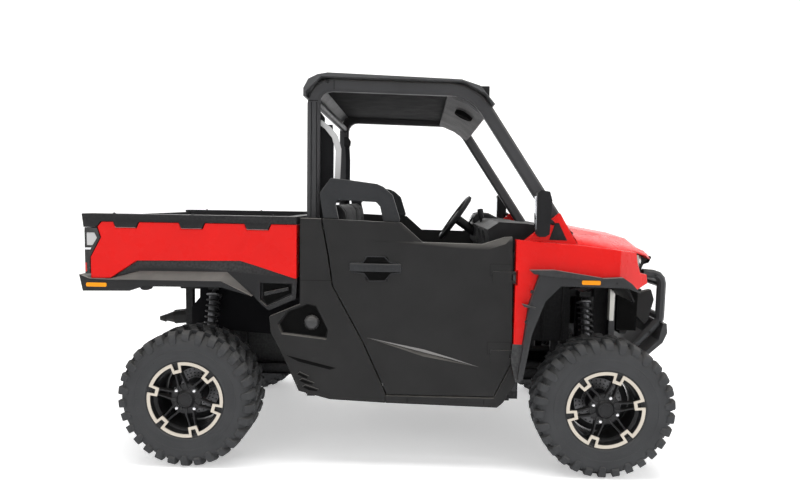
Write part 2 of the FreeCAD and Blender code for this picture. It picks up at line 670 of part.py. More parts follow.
def dash():
    outline = [
        (560.0, 1010.0), (512.0, 1080.0), (505.0, 1190.0), (560.0, 1228.0), (700.0, 1222.0),
        (852.0, 1198.0), (900.0, 1202.0), (HOOD_REAR_X - SEAT_GAP, 1180.0), (900.0, 1100.0), (735.0, 898.0),
        (706.0, 866.0), (700.0, 866.0), (690.0, 900.0), (640.0, 1000.0),
    ]
    body = side_prism(outline, -CAB_HALF_WIDTH, CAB_HALF_WIDTH)
    x, z = CAGE_CROSS_TUBES[4]
    return body.cut(Part.makeCylinder(CROSS_TUBE_RADIUS + SEAT_GAP, 2.0 * CAGE_Y, V(x, -CAGE_Y, z), Y_AXIS))


def column_point(distance):
    lean = math.radians(COLUMN_LEAN)
    return V(392.0 + distance * math.cos(lean), DRIVER_Y, 1224.0 - distance * math.sin(lean))


def driver_controls():
    board = dash()
    column = rod(column_point(20.0 + SEAT_GAP), column_point(160.0), 30.0, 12).cut(board)
    lever = join([rod(V(545.0, 40.0, 1080.0), V(529.0, 40.0, 1245.0), 8.0),
                  rod(V(530.0, 40.0, 1235.0), V(524.0, 40.0, 1285.0), 17.0, 10)]).cut(board)
    toe_board = floor_pan().translated(V(-SEAT_GAP, 0, SEAT_GAP))
    pedals = [
        join([box(566.0, 590.0, y - 30.0, y + 30.0, 520.0, 590.0),
              rod(V(588.0, y, 560.0), V(642.0, y, 614.0), 8.0).cut(toe_board)])
        for y in (DRIVER_Y - 110.0, DRIVER_Y + 20.0)
    ]
    return [column, lever] + pedals


def steering_wheel():
    centre = STEERING_WHEEL_RADIUS - 15.0
    section = [(-8.0, centre - 13.0), (-15.0, centre), (-8.0, centre + 13.0), (8.0, centre + 13.0),
               (15.0, centre), (8.0, centre - 13.0)]
    grip = faceted_ring(section, 20)
    grip.rotate(V(0, 0, 0), X_AXIS, 90.0)
    boss = rod(V(0, 0, -20.0), V(0, 0, 10.0), 52.0, 12)
    spokes = [rod(V(0, 0, -4.0), V(centre * math.cos(a), centre * math.sin(a), 0), 11.0, 6)
              for a in (0.0, math.radians(120.0), math.radians(240.0))]
    wheel = join([boss, grip] + spokes)
    wheel.rotate(V(0, 0, 0), Y_AXIS, -(90.0 - COLUMN_LEAN))
    wheel.translate(column_point(0.0))
    return wheel


def bulkhead():
    # The wall behind the bench and the box that carries it, over the tunnel.
    low = FLOOR_LOW_Z + FLOOR_THICKNESS + SEAT_GAP
    wall = box(CAB_REAR_X, CAB_REAR_X + 12.0, -CAB_HALF_WIDTH, CAB_HALF_WIDTH, low, 1180.0)
    bench = box(CAB_REAR_X + 12.0, 120.0, -BENCH_HALF, BENCH_HALF, low, BENCH_BASE_Z)
    half = TUNNEL_HALF + SEAT_GAP
    notch = box(CAB_REAR_X - 1.0, 121.0, -half, half, low - 1.0, TUNNEL_TOP_Z + SEAT_GAP)
    return join([wall, bench]).cut(notch)


def seat_cushions():
    outline = [
        (-190.0, 0.6), (140.0, 0.6), (165.0, 40.0), (150.0, 108.0), (90.0, 122.0), (-190.0, 92.0),
    ]
    side = [(x, z + BENCH_BASE_Z) for x, z in outline]
    return [side_prism(side, BENCH_SPLIT[1], BENCH_HALF), side_prism(side, -BENCH_HALF, BENCH_SPLIT[0])]


def seat_backs():
    rear = CAB_REAR_X + 12.0 + SEAT_GAP
    outline = [(rear, 775.0), (rear, 1310.0), (-262.0, 1322.0), (-222.0, 1290.0), (-175.0, 775.0)]
    return [side_prism(outline, BENCH_SPLIT[1], BENCH_HALF), side_prism(outline, -BENCH_HALF, BENCH_SPLIT[0])]


# Front bodywork

def hood():
    # Cross-sections from the cowl to the nose: x, crown height, edge height and half width at the edge.
    inner = FENDER_INNER_Y - SEAT_GAP
    stations = [
        (HOOD_REAR_X, 1218.0, 1133.0, inner), (FENDER_TURN_X, 1190.0, 1112.0, inner),
        (1267.0, 1160.0, 1088.0, hood_edge(1267.0)), (1345.0, 1110.0, 1068.0, NOSE_CORNER_Y - 45.0),
        (1404.0, 1064.0, 1040.0, FASCIA_HALF + 20.0),
    ]
    sections = []
    for x, crown, edge, half in stations:
        ledge = half - 45.0
        shoulder = half * 0.66
        right = [V(x, -half, edge - 8.0), V(x, -half, edge), V(x, -ledge, edge + 20.0),
                 V(x, -shoulder, crown - 16.0)]
        left = [V(p.x, -p.y, p.z) for p in right]
        sections.append(right + [V(x, 0, crown)] + left[::-1])
    return facet_loft(sections)


def hood_edge(x):
    # Half width along the inside of the fender's slanted front, with the fit's gap.
    share = (x - FENDER_TURN_X) / (NOSE_CORNER_X - FENDER_TURN_X)
    return FENDER_INNER_Y - SEAT_GAP - share * (FENDER_INNER_Y - NOSE_CORNER_Y)


def fender():
    side = [
        (DOOR_FRONT_X + DOOR_GAP, 1149.0), (HOOD_REAR_X, 1128.0), (1095.0, 1110.0), (1228.0, 1090.0),
        (1240.0, 1040.0), (1262.0, 985.0), (1310.0, 975.0), (1318.0, 930.0), (1245.0, 905.0),
    ] + ARCH_LINE[::-1] + [(DOOR_FRONT_X + DOOR_GAP, 540.0)]
    plan = [
        (600.0, -FENDER_Y + 18.0), (700.0, -FENDER_Y), (FENDER_TURN_X + 30.0, -FENDER_Y),
        (NOSE_CORNER_X + 40.0, -NOSE_CORNER_Y - 60.0), (NOSE_CORNER_X + 40.0, -NOSE_CORNER_Y),
        (NOSE_CORNER_X, -NOSE_CORNER_Y), (FENDER_TURN_X, -FENDER_INNER_Y), (600.0, -FENDER_INNER_Y),
    ]
    panel = side_prism(side, -FENDER_Y, -NOSE_CORNER_Y).common(plan_prism(plan, 400.0, 1300.0))
    sail = side_prism([(664.0, 1140.0), (835.0, 1280.0), (925.0, 1125.0)], -SAIL_Y, -FENDER_INNER_Y)
    reach = HINGE_BARREL * HINGE_SPREAD + DOOR_GAP
    notches = [box(600.0, HINGE_X + HINGE_RADIUS + DOOR_GAP, -FENDER_Y, -HINGE_Y + 20.0, z - reach, z + reach)
               for z in HINGE_HEIGHTS]
    return join([panel, sail]).cut(notches)


def flare():
    top = [(x + (SEAT_GAP if x < FENDER_TURN_X else -SEAT_GAP), z - SEAT_GAP) for x, z in ARCH_LINE]
    inside = [(1150.0, 930.0), (837.0, 934.0), (765.0, 860.0), (706.0, 700.0), (690.0, 600.0), (668.0, 475.0)]
    body = side_prism(top + inside, -FLARE_Y, -FLARE_INNER_Y)
    strakes = [
        [(688.0, 1008.0), (800.0, 1011.0), (1029.0, 977.0), (1021.0, 966.0), (798.0, 978.0), (708.0, 990.0)],
        [(656.0, 845.0), (719.0, 832.0), (716.0, 822.0), (664.0, 833.0)],
    ]
    return join([body] + [side_prism(strake, -STRAKE_Y, -FENDER_Y - SEAT_GAP) for strake in strakes])


def arch_liner():
    outline = [
        (752.0, 862.0), (828.0, 944.0), (1153.0, 940.0), (1196.0, 910.0), (1226.0, 850.0), (1219.0, 846.0),
        (1190.0, 903.0), (1149.0, 931.5), (832.0, 935.5), (760.0, 858.0),
    ]
    return side_prism(outline, -FLARE_INNER_Y + SEAT_GAP, -290.0)


def fascia():
    rear = NOSE_POST_X + SEAT_GAP
    side = [
        (rear, 880.0), (rear, 1078.0), (1267.0, 1078.0), (1345.0, 1058.0), (1378.0, 1043.0), (1405.0, 1030.0),
        (1405.0, 1053.0), (1423.0, 1046.0), (1408.0, 1012.0), (1380.0, 1004.0), (1372.0, 980.0),
        (1360.0, 780.0), (1300.0, 620.0), (rear + 12.0, 620.0), (rear + 12.0, 640.0), (rear, 660.0),
    ]
    cheek = side_prism([(1355.0, 850.0), (1428.0, 868.0), (1446.0, 812.0), (1416.0, 690.0), (1398.0, 674.0),
                        (1335.0, 735.0)], -FASCIA_HALF, 40.0 - FASCIA_HALF)
    return join([side_prism(side, -FASCIA_HALF, FASCIA_HALF)] + pair(cheek))


def headlight():
    side = [(1262.0, 1074.0), (1338.0, 1057.0), (1345.0, 985.0), (1270.0, 990.0)]
    inner = -FASCIA_HALF - SEAT_GAP
    plan = [(1240.0, -NOSE_CORNER_Y), (1300.0, 20.0 - NOSE_CORNER_Y), (1362.0, inner), (1262.0, inner)]
    return side_prism(side, -600.0, inner).common(plan_prism(plan, 900.0, 1100.0))


def front_marker():
    return box(932.0, 1021.0, -FLARE_Y - 4.0, -FLARE_Y - SEAT_GAP, 944.0, 965.0)


def brush_guard():
    pieces = []
    for y in (-FASCIA_HALF, FASCIA_HALF):
        hoop = [V(1374.0, y, 958.0), V(1480.0, y, 950.0), V(1478.0, y, 700.0), V(1310.0, y, 520.0)]
        pieces.append(profile_tube(hoop, [50.0, 50.0], 44.0, 44.0, 13.0, 3))
    for x, z in ((1478.0, 900.0), (1475.0, 720.0)):
        pieces.append(rod(V(x, -FASCIA_HALF, z), V(x, FASCIA_HALF, z), 20.0))
    seat = RAIL_FRONT_X + SEAT_GAP
    plate = side_prism([
        (1500.0, 690.0), (1505.0, 640.0), (1482.0, 585.0), (1400.0, 510.0), (seat + 20.0, 372.0),
        (seat, 372.0), (seat, 392.0), (1390.0, 530.0), (1460.0, 600.0), (1480.0, 690.0),
    ], -FASCIA_HALF - 50.0, FASCIA_HALF + 50.0)
    return join(pieces + [plate])


# Side panels and doors

def side_panels():
    # The rear quarter with its filler recess, and the rocker under the door.
    gap = DOOR_GAP
    inner_edge = [(x - gap, z) for x, z in DOOR_REAR_EDGE]
    rear = BED_FRONT_X - 8.0 + BED_GAP
    quarter = [(rear, 1236.0)] + inner_edge + [
        (15.0 - gap, 331.0), (-266.0, 342.0), (-423.0, 381.0), (-500.0, 556.0), (-562.0, 672.0),
        (-569.0, 750.0), (rear, 815.0),
    ]
    rocker = [
        (15.0 - gap + SEAT_GAP, 331.0), (15.0 - gap + SEAT_GAP, DOOR_BOTTOM_Z - gap),
        (538.0, DOOR_BOTTOM_Z - gap), (612.0, 519.0), (620.0, 533.0), (638.0, 468.0), (657.0, 468.0),
        (655.0, 463.0), (586.0, 346.0), (557.0, 320.0),
    ]
    inner = -DOOR_OUTER_Y + DOOR_THICKNESS
    recess = side_prism([(-526.0, 713.0), (-482.0, 779.0), (-381.0, 817.0), (-337.0, 807.0), (-277.0, 687.0),
                         (-286.0, 643.0), (-507.0, 666.0)], -DOOR_OUTER_Y - 1.0, -CAP_SEAT_Y)
    quarter_solid = side_prism(quarter, -DOOR_OUTER_Y, inner).cut(recess)
    return [quarter_solid, side_prism(rocker, -DOOR_OUTER_Y, inner)]


def fuel_cap():
    return rod(V(-362.0, -CAP_SEAT_Y - 22.0, 722.0), V(-362.0, -CAP_SEAT_Y - SEAT_GAP, 722.0), 38.0, 16)


def mirror():
    outline = [(713.0, 1180.0), (711.0, 1372.0), (728.0, 1387.0), (768.0, 1380.0), (780.0, 1340.0),
               (772.0, 1180.0), (752.0, 1167.0), (724.0, 1167.0)]
    head = side_prism(outline, -SAIL_Y - 76.0, -SAIL_Y - 20.0)
    sail = box(600.0, 1000.0, -SAIL_Y - SEAT_GAP, -CAB_HALF_WIDTH, 1100.0, 1400.0)
    stem = rod(V(770.0, -SAIL_Y - 23.0, 1250.0), V(840.0, 10.0 - FENDER_INNER_Y, 1205.0), 12.0).cut(sail)
    return join([head, stem])


def door_crease():
    # The low ridge across the door's face, highest at its middle.
    base = 1.0 - DOOR_OUTER_Y
    rear, front, foot = V(-88.0, base, 656.0), V(462.0, base, 522.0), V(230.0, base, 390.0)
    crest = V(190.0, -DOOR_OUTER_Y - 11.0, 572.0)
    corners = [[rear, front, foot], [rear, front, crest], [front, foot, crest], [foot, rear, crest]]
    return solid_of([Part.Face(Part.makePolygon(three + three[:1])) for three in corners])


def sill_bevel():
    # What the slanted top edge takes off the sill: x, top, height and depth of the slant at each station.
    stations = [(-140.0, 1131.0, 2.0, 1.0), (178.0, 1127.0, 17.0, 9.0), (468.0, DOOR_SILL_Z, 36.0, 20.0),
                (577.0, 1159.0, 34.0, 20.0), (DOOR_FRONT_X, 1161.0, 30.0, 18.0)]
    outer = -DOOR_OUTER_Y - 1.0
    return facet_loft([
        [V(x, outer, top - height), V(x, outer, top + 2.0), V(x, outer + depth, top + 2.0)]
        for x, top, height, depth in stations
    ])


def slope_bevel():
    # What the wide bevel takes off the edge that runs down from the door's top to the sill.
    outer = -DOOR_OUTER_Y - 1.0
    return facet_loft([
        [V(inner, outer, z), V(edge, outer, z), V(edge, outer + depth, z)]
        for inner, edge, z, depth in ((44.0, 76.0, 1224.0, 9.0), (116.0, 186.0, 1127.0, 14.0))
    ])


def handle_cup():
    outline = [(-110.0, 1015.0), (-96.0, 1055.0), (10.0, 1055.0), (24.0, 1015.0), (24.0, 985.0), (6.0, 937.0),
               (-92.0, 937.0), (-110.0, 985.0)]
    return side_prism(outline, -DOOR_OUTER_Y - 1.0, -DOOR_OUTER_Y + 20.0)


def door_panel():
    outline = [
        (-310.0, DOOR_TOP_Z), (72.0, 1220.0), (178.0, 1127.0), (468.0, DOOR_SILL_Z), (577.0, 1159.0),
        (610.0, 1161.0), (DOOR_FRONT_X, 647.0), (615.0, 540.0), (536.0, DOOR_BOTTOM_Z), (15.0, DOOR_BOTTOM_Z),
    ] + DOOR_REAR_EDGE[::-1][1:-1]
    panel = side_prism(outline, -DOOR_OUTER_Y, -DOOR_OUTER_Y + DOOR_THICKNESS)
    pieces = [panel.cut([sill_bevel(), slope_bevel(), handle_cup()]), door_crease()]
    edge = HINGE_X - HINGE_RADIUS - 1.0
    outer = HINGE_BARREL * HINGE_SPREAD
    for z in HINGE_HEIGHTS:
        pieces.append(box(HINGE_X - 105.0, edge, -DOOR_OUTER_Y - 4.0, -DOOR_OUTER_Y, z - outer, z + outer))
        for side in (-1, 1):
            near = z + side * (HINGE_BARREL + SEAT_GAP)
            far = z + side * outer
            low, high = sorted((near, far))
            pieces.append(rod(V(HINGE_X, -HINGE_Y, low), V(HINGE_X, -HINGE_Y, high), HINGE_RADIUS))
            pieces.append(box(edge, HINGE_X, -DOOR_OUTER_Y - 4.0, -DOOR_OUTER_Y, low, high))
    reach = HINGE_BARREL + SEAT_GAP
    clear = HINGE_RADIUS + 6.0
    notches = [box(HINGE_X - clear, HINGE_X + clear, -HINGE_Y - clear, -HINGE_Y + clear, z - reach, z + reach)
               for z in HINGE_HEIGHTS]
    return join(pieces).cut(notches)


def door_trim():
    # The guard hoop stands on the door's top edge; the handle is on its outer face.
    top = DOOR_TOP_Z + 0.4
    hoop = [
        (-308.0, top), (-328.0, 1356.0), (-310.0, 1383.0), (-273.0, 1432.0), (-184.0, 1423.0),
        (-48.0, 1406.0), (-18.0, 1393.0), (28.0, 1354.0), (65.0, 1238.0), (62.0, 1220.8), (-15.0, 1223.6),
        (-23.0, 1259.0), (-32.0, 1296.0), (-51.0, 1318.0), (-154.0, 1322.0), (-235.0, 1325.0),
        (-251.0, 1309.0), (-234.0, 1231.6),
    ]
    y = -GUARD_Y - GUARD_THICKNESS / 2.0
    handle = box(-174.0, 76.0, -DOOR_OUTER_Y - 12.0, -DOOR_OUTER_Y - SEAT_GAP, 981.0, 1021.0)
    return [side_prism(hoop, y, y + GUARD_THICKNESS), handle]


# Cargo bed

def notch_line(depth, spread):
    # The lower edge of the rail over its length, dipping at each notch.
    points = []
    for rear, front in BED_NOTCHES:
        points += [(rear - spread, BED_PANEL_TOP_Z), (rear - spread + 12.0, BED_PANEL_TOP_Z - depth),
                   (front + spread - 12.0, BED_PANEL_TOP_Z - depth), (front + spread, BED_PANEL_TOP_Z)]
    return points


def bed_tub():
    outer = BED_INNER_Y + BED_WALL
    front = BED_FRONT_X - 8.0
    body = box(BED_REAR_X, front, -outer, outer, BED_UNDER_Z, BED_PANEL_TOP_Z)
    body = body.cut(box(BED_REAR_X - 1.0, front - BED_WALL, -BED_INNER_Y, BED_INNER_Y,
                        BED_FLOOR_Z, BED_RAIL_Z))
    pieces = [body]
    rail = [(BED_REAR_X - 36.0, BED_RAIL_Z), (BED_REAR_X - 28.0, 1175.0), (BED_REAR_X + 34.0, 1175.0),
            (BED_REAR_X + 56.0, BED_PANEL_TOP_Z)]
    rail += notch_line(BED_NOTCH_DEPTH, 0.0) + [(front, BED_PANEL_TOP_Z), (front, BED_RAIL_Z)]
    pieces.extend(pair(side_prism(rail, -BED_PANEL_Y - 4.0, -BED_INNER_Y)))
    pieces.append(box(front - 60.0, front, -BED_INNER_Y, BED_INNER_Y, BED_RAIL_Z - 45.0, BED_RAIL_Z))
    ear = side_prism([(BED_HINGE_X - 24.0, BED_HINGE_Z), (BED_HINGE_X, BED_HINGE_Z - 24.0),
                      (BED_HINGE_X + 24.0, BED_HINGE_Z), (BED_HINGE_X + 50.0, BED_UNDER_Z + 1.0),
                      (BED_HINGE_X - 50.0, BED_UNDER_Z + 1.0)],
                     -RAIL_Y + 14.0, -RAIL_Y + 26.0)
    pieces.extend(pair(ear))
    pin_reach = RAIL_Y + 15.0
    pieces.append(Part.makeCylinder(HINGE_PIN_RADIUS, 2.0 * pin_reach,
                                    V(BED_HINGE_X, -pin_reach, BED_HINGE_Z), Y_AXIS))
    low = -TAILGATE_HINGE_Y - 20.0 + SEAT_GAP
    high = -TAILGATE_HINGE_Y + 20.0 - SEAT_GAP
    barrel = rod(V(TAILGATE_PIN_X, low, TAILGATE_PIN_Z), V(TAILGATE_PIN_X, high, TAILGATE_PIN_Z), 12.0)
    bracket = box(TAILGATE_PIN_X, BED_REAR_X + 20.0, low, high, TAILGATE_PIN_Z - 6.0, BED_UNDER_Z)
    return join(pieces + pair(barrel) + pair(bracket))


def bed_panel():
    top = BED_PANEL_TOP_Z - 1.0
    rear, axle, front = BED_REAR_X, REAR_AXLE_X, BED_FRONT_X
    outline = [
        (rear + 59.0, top), (rear + 38.0, 1178.0), (rear + 55.0, 1125.0), (rear + 2.0, 1028.0),
        (rear + 2.0, 924.0), (rear + 97.0, 926.0), (axle - 252.0, 1014.0), (axle + 260.0, 1022.0),
        (front - 209.0, 1000.0), (front - 17.0, 940.0), (front - 8.0, 940.0), (front - 8.0, top),
    ] + [(x, z - 1.0) for x, z in notch_line(BED_NOTCH_DEPTH + 2.0, 2.0)[::-1]]
    return side_prism(outline, -BED_PANEL_Y, -BED_INNER_Y - BED_WALL - SEAT_GAP)


def bed_skirt():
    # A slab under the red panel; its lower part stands out below a slanted band that tapers forward.
    rear, axle, front = BED_REAR_X, REAR_AXLE_X, BED_FRONT_X
    lower = [(rear, 923.0), (rear - 51.0, 943.0), (rear - 34.0, 862.0), (axle - 282.0, 866.0),
             (axle - 222.0, 889.0), (axle + 170.0, 892.0), (axle + 319.0, 851.0)]
    nose = [(axle + 360.0, 806.0), (axle + 397.0, 778.0), (front - 14.0, 838.0), (front - 8.0, 939.0),
            (front - 17.0, 939.0), (front - 209.0, 999.0), (axle + 260.0, 1021.0), (axle - 252.0, 1013.0),
            (rear + 97.0, 925.0)]
    face = 20.0 - BED_PANEL_Y
    slab = side_prism(lower + nose, face, -BED_INNER_Y - BED_WALL - SEAT_GAP)
    scoop = side_prism([(axle + 353.0, 914.0), (front - 31.0, 914.0), (front - 31.0, 858.0),
                        (axle + 384.0, 798.0), (axle + 353.0, 826.0)], face - 1.0, face + 24.0)
    band_top = [(axle + 191.0, 966.0), (axle - 237.0, 963.0), (rear + 97.0, 925.0)]
    band_foot = [(axle + 170.0, 922.0), (axle - 260.0, 921.0), (rear + 97.0, 920.0)]
    ridge = facet_loft([
        [V(x, face + 1.0, z) for x, z in lower + band_top],
        [V(x, -BED_SKIRT_Y, z) for x, z in lower + band_foot],
    ])
    return join([slab.cut(scoop), ridge])


def rear_lamp():
    rear = BED_REAR_X
    lamp = side_prism([(rear - 28.0, 1173.0), (rear + 34.0, 1173.0), (rear + 50.0, 1125.0),
                       (rear - 2.0, 1028.0), (rear - 2.0, 945.0), (rear - 28.0, 945.0)],
                      -BED_PANEL_Y + 4.0, -BED_INNER_Y)
    marker = box(rear - 25.0, rear + 77.0, -BED_SKIRT_Y - 4.0, -BED_SKIRT_Y - SEAT_GAP, 881.0, 901.0)
    tub = box(rear - SEAT_GAP, 0, -BED_INNER_Y - BED_WALL - SEAT_GAP, 0, 900.0, 1300.0)
    return [lamp.cut(tub), marker]


def tailgate():
    inner = BED_INNER_Y - 6.0
    gate = box(BED_REAR_X - TAILGATE_THICKNESS, BED_REAR_X - 5.0, -inner, inner,
               TAILGATE_PIN_Z + 15.0, BED_RAIL_Z - 15.0)
    pieces = [gate]
    for centre in (-TAILGATE_HINGE_Y, TAILGATE_HINGE_Y):
        for near, far in ((centre - 60.0, centre - 20.0), (centre + 20.0, centre + 60.0)):
            pieces.append(rod(V(TAILGATE_PIN_X, near, TAILGATE_PIN_Z),
                              V(TAILGATE_PIN_X, far, TAILGATE_PIN_Z), 12.0))
            pieces.append(box(TAILGATE_PIN_X - 12.0, TAILGATE_PIN_X + 4.0, near, far, TAILGATE_PIN_Z,
                              TAILGATE_PIN_Z + 16.0))
    return join(pieces)


# Steering

def knuckle():
    # Right side: a post on the kingpin between the arms' bosses, the hub's bearing and the steering arm.
    low = LOWER_BALL_Z + BOSS_HALF + SEAT_GAP
    high = UPPER_BALL_Z - BOSS_HALF - SEAT_GAP
    post = rod(V(FRONT_AXLE_X, -KINGPIN_Y, low), V(FRONT_AXLE_X, -KINGPIN_Y, high), 24.0, 10)
    bearing = rod(V(FRONT_AXLE_X, -KINGPIN_Y - KNUCKLE_REACH, AXLE_Z),
                  V(FRONT_AXLE_X, -KINGPIN_Y, AXLE_Z), 45.0, 12)
    top = RACK_Z - 11.5
    lever = box(FRONT_AXLE_X - STEERING_ARM - 14.0, FRONT_AXLE_X, -KINGPIN_Y - 14.0, -KINGPIN_Y + 14.0,
                top - 18.0, top)
    return join([post, bearing, lever])


def steering_rack():
    # The rack's bar rests on the frame's rails; its tie rods reach the knuckles' steering arms.
    x = FRONT_AXLE_X - STEERING_ARM
    radius = RACK_Z - RAIL_Z - RAIL_SIZE / 2.0 - SEAT_GAP
    pieces = [rod(V(x, -262.0, RACK_Z), V(x, 262.0, RACK_Z), radius / math.cos(math.pi / 12.0), 12)]
    for side in (-1, 1):
        pieces.append(rod(V(x, side * 250.0, RACK_Z), V(x, side * (KINGPIN_Y - 8.0), RACK_Z), 8.0))
        end = V(x, side * KINGPIN_Y, RACK_Z)
        pieces.append(rod(end - V(0, 0, 10.0), end + V(0, 0, 10.0), 16.0, 10))
    return join(pieces)


def export(name, shapes):
    shapes = shapes if isinstance(shapes, list) else [shapes]
    shape = shapes[0] if len(shapes) == 1 else Part.makeCompound(shapes)
    shape.exportStep("parts/" + name + ".step")


def export_wheels():
    front_hub = hub(FRONT_TYRE_WIDTH, FRONT_WHEEL_Y, KINGPIN_Y + KNUCKLE_REACH)
    rear_hub = hub(REAR_TYRE_WIDTH, REAR_WHEEL_Y, UPRIGHT_Y + 40.0)
    fronts = (tyre(FRONT_TYRE_WIDTH), [rim(FRONT_TYRE_WIDTH, FRONT_SPOKE_TURN), front_hub])
    rears = (tyre(REAR_TYRE_WIDTH), [rim(REAR_TYRE_WIDTH, REAR_SPOKE_TURN), rear_hub])
    corners = {
        "fl": (fronts, FRONT_AXLE_X, FRONT_WHEEL_Y, 1), "fr": (fronts, FRONT_AXLE_X, FRONT_WHEEL_Y, -1),
        "rl": (rears, REAR_AXLE_X, REAR_WHEEL_Y, 1), "rr": (rears, REAR_AXLE_X, REAR_WHEEL_Y, -1),
    }
    for corner, (shapes, axle_x, wheel_y, side) in corners.items():
        export("tyre_" + corner, placed_wheel(shapes[0], axle_x, wheel_y, side))
        export("rim_" + corner, join([placed_wheel(s, axle_x, wheel_y, side) for s in shapes[1]]))


def main():
    export("frame", frame())
    export("frame_towers", frame_towers())
    export("skid_plate", skid_plate())
    export("floor_pan", floor_pan())
    export("engine", engine())
    export("muffler", muffler())
    shafts = [half_shaft(FRONT_AXLE_X, FRONT_CASE_Y, KINGPIN_Y - 24.5),
              half_shaft(REAR_AXLE_X, REAR_CASE_Y, UPRIGHT_Y - 6.3)]
    export("driveline", driveline() + [piece for one in shafts for piece in pair(one)])
    export("suspension_arms", suspension_arms())
    shocks = [shock(FRONT_AXLE_X), shock(REAR_AXLE_X)]
    export("shocks", [piece for one in shocks for piece in pair(one)])
    export("rear_uprights", pair(upright(REAR_AXLE_X)))
    export("radiator", radiator())
    export("cage", cage())
    export("roof", roof())
    export("roof_liner", roof_liner())
    export("light_bar", light_bar())
    export("dash", dash())
    export("driver_controls", driver_controls())
    export("steering_wheel", steering_wheel())
    export("bulkhead", bulkhead())
    export("seat_cushions", seat_cushions())
    export("seat_backs", seat_backs())
    export("hood", hood())
    export("fenders", pair(fender()))
    export("fender_flares", pair(flare()))
    export("arch_liners", pair(arch_liner()))
    export("fascia", fascia())
    export("front_lamps", pair(headlight()) + pair(front_marker()))
    export("brush_guard", brush_guard())
    export("side_panels", [piece for one in side_panels() for piece in pair(one)])
    export("fuel_cap", fuel_cap())
    export("mirrors", pair(mirror()))
    export("bed_tub", bed_tub())
    export("bed_panels", pair(bed_panel()))
    export("bed_skirts", pair(bed_skirt()))
    export("rear_lamps", [piece for one in rear_lamp() for piece in pair(one)])
    export("tailgate", tailgate())
    for side, name in ((-1, "right"), (1, "left")):
        panel = door_panel()
        trim = door_trim()
        export("door_panel_" + name, panel if side < 0 else mirrored(panel))
        export("door_trim_" + name, trim if side < 0 else [mirrored(one) for one in trim])
        arm_side = knuckle() if side < 0 else mirrored(knuckle())
        export("knuckle_" + name, arm_side)
    export("steering_rack", steering_rack())
    export_wheels()


main()
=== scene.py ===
# Side by side utility vehicle with a tilting cargo bed, in metres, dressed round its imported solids.
import contextlib
import json
import math

import bmesh
import bpy
from mathutils import Matrix, Vector


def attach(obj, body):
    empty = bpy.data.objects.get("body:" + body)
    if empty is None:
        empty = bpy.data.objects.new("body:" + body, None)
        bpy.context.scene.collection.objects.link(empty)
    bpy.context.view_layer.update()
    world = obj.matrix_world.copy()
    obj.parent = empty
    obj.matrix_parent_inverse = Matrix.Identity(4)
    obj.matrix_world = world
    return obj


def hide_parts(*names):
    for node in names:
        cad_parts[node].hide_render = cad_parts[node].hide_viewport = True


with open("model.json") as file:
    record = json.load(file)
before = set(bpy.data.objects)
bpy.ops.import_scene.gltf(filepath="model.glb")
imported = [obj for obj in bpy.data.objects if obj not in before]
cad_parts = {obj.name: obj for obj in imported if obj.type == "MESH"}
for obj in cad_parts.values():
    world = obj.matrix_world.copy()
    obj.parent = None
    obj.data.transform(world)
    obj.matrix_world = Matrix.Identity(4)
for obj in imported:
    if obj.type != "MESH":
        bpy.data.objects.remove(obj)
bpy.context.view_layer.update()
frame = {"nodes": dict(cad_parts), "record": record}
nodes = frame["nodes"]
BODY = {node: body for body, members in frame["record"]["behaviour"]["bodies"].items() for node in members}
MM = 0.001

# The studio: a pale round floor that curves up into its wall, and a soft light above and on three sides.
# The camera stands four metres off the right side, at shoulder height, as it did for the photograph.
FOCAL_PIXELS = 635.3
PHOTO_WIDTH = 800.0
SENSOR_MM = 36.0
CAMERA_PLACE = Vector((0.1552, -3.7968, 1.3236))
CAMERA_YAW = math.radians(-1.62)
CAMERA_PITCH = math.radians(4.38)
CAMERA_ROLL = math.radians(0.91)


def in_scene(name, data):
    # A new object that holds this data.
    thing = bpy.data.objects.new(name, data)
    bpy.context.scene.collection.objects.link(thing)
    return thing


ahead = Vector((math.sin(CAMERA_YAW) * math.cos(CAMERA_PITCH), math.cos(CAMERA_YAW) * math.cos(CAMERA_PITCH),
                -math.sin(CAMERA_PITCH)))
level_right = Vector((math.cos(CAMERA_YAW), -math.sin(CAMERA_YAW), 0.0))
level_up = level_right.cross(ahead)
camera_right = level_right * math.cos(CAMERA_ROLL) + level_up * math.sin(CAMERA_ROLL)
camera_up = level_up * math.cos(CAMERA_ROLL) - level_right * math.sin(CAMERA_ROLL)
camera = in_scene("camera", bpy.data.cameras.new("camera"))
camera.data.sensor_width = SENSOR_MM
camera.data.lens = SENSOR_MM * FOCAL_PIXELS / PHOTO_WIDTH
camera.matrix_world = Matrix.Translation(CAMERA_PLACE) @ Matrix(
    (camera_right, camera_up, -ahead)).transposed().to_4x4()
bpy.context.scene.camera = camera


@contextlib.contextmanager
def opened(mesh):
    # A mesh held open for edits and written back after them.
    shape = bmesh.new()
    shape.from_mesh(mesh)
    yield shape
    shape.to_mesh(mesh)
    shape.free()


def mesh_object(name, points, faces):
    # A mesh whose place is in its points, with doubled points merged and every face turned outwards.
    mesh = bpy.data.meshes.new(name)
    mesh.from_pydata([tuple(p) for p in points], [], faces)
    piece = in_scene(name, mesh)
    with opened(mesh) as shape:
        bmesh.ops.remove_doubles(shape, verts=shape.verts, dist=1e-6)
        bmesh.ops.recalc_face_normals(shape, faces=shape.faces)
    return piece


def fed(tree, node, inputs):
    # Sets a node's inputs to values, or joins them to other nodes' outputs.
    for label, value in inputs.items():
        if isinstance(value, bpy.types.NodeSocket):
            tree.links.new(value, node.inputs[label])
        else:
            node.inputs[label].default_value = value
    return node


def made(tree, kind, inputs):
    # A new node with its inputs.
    return fed(tree, tree.nodes.new(kind), inputs)


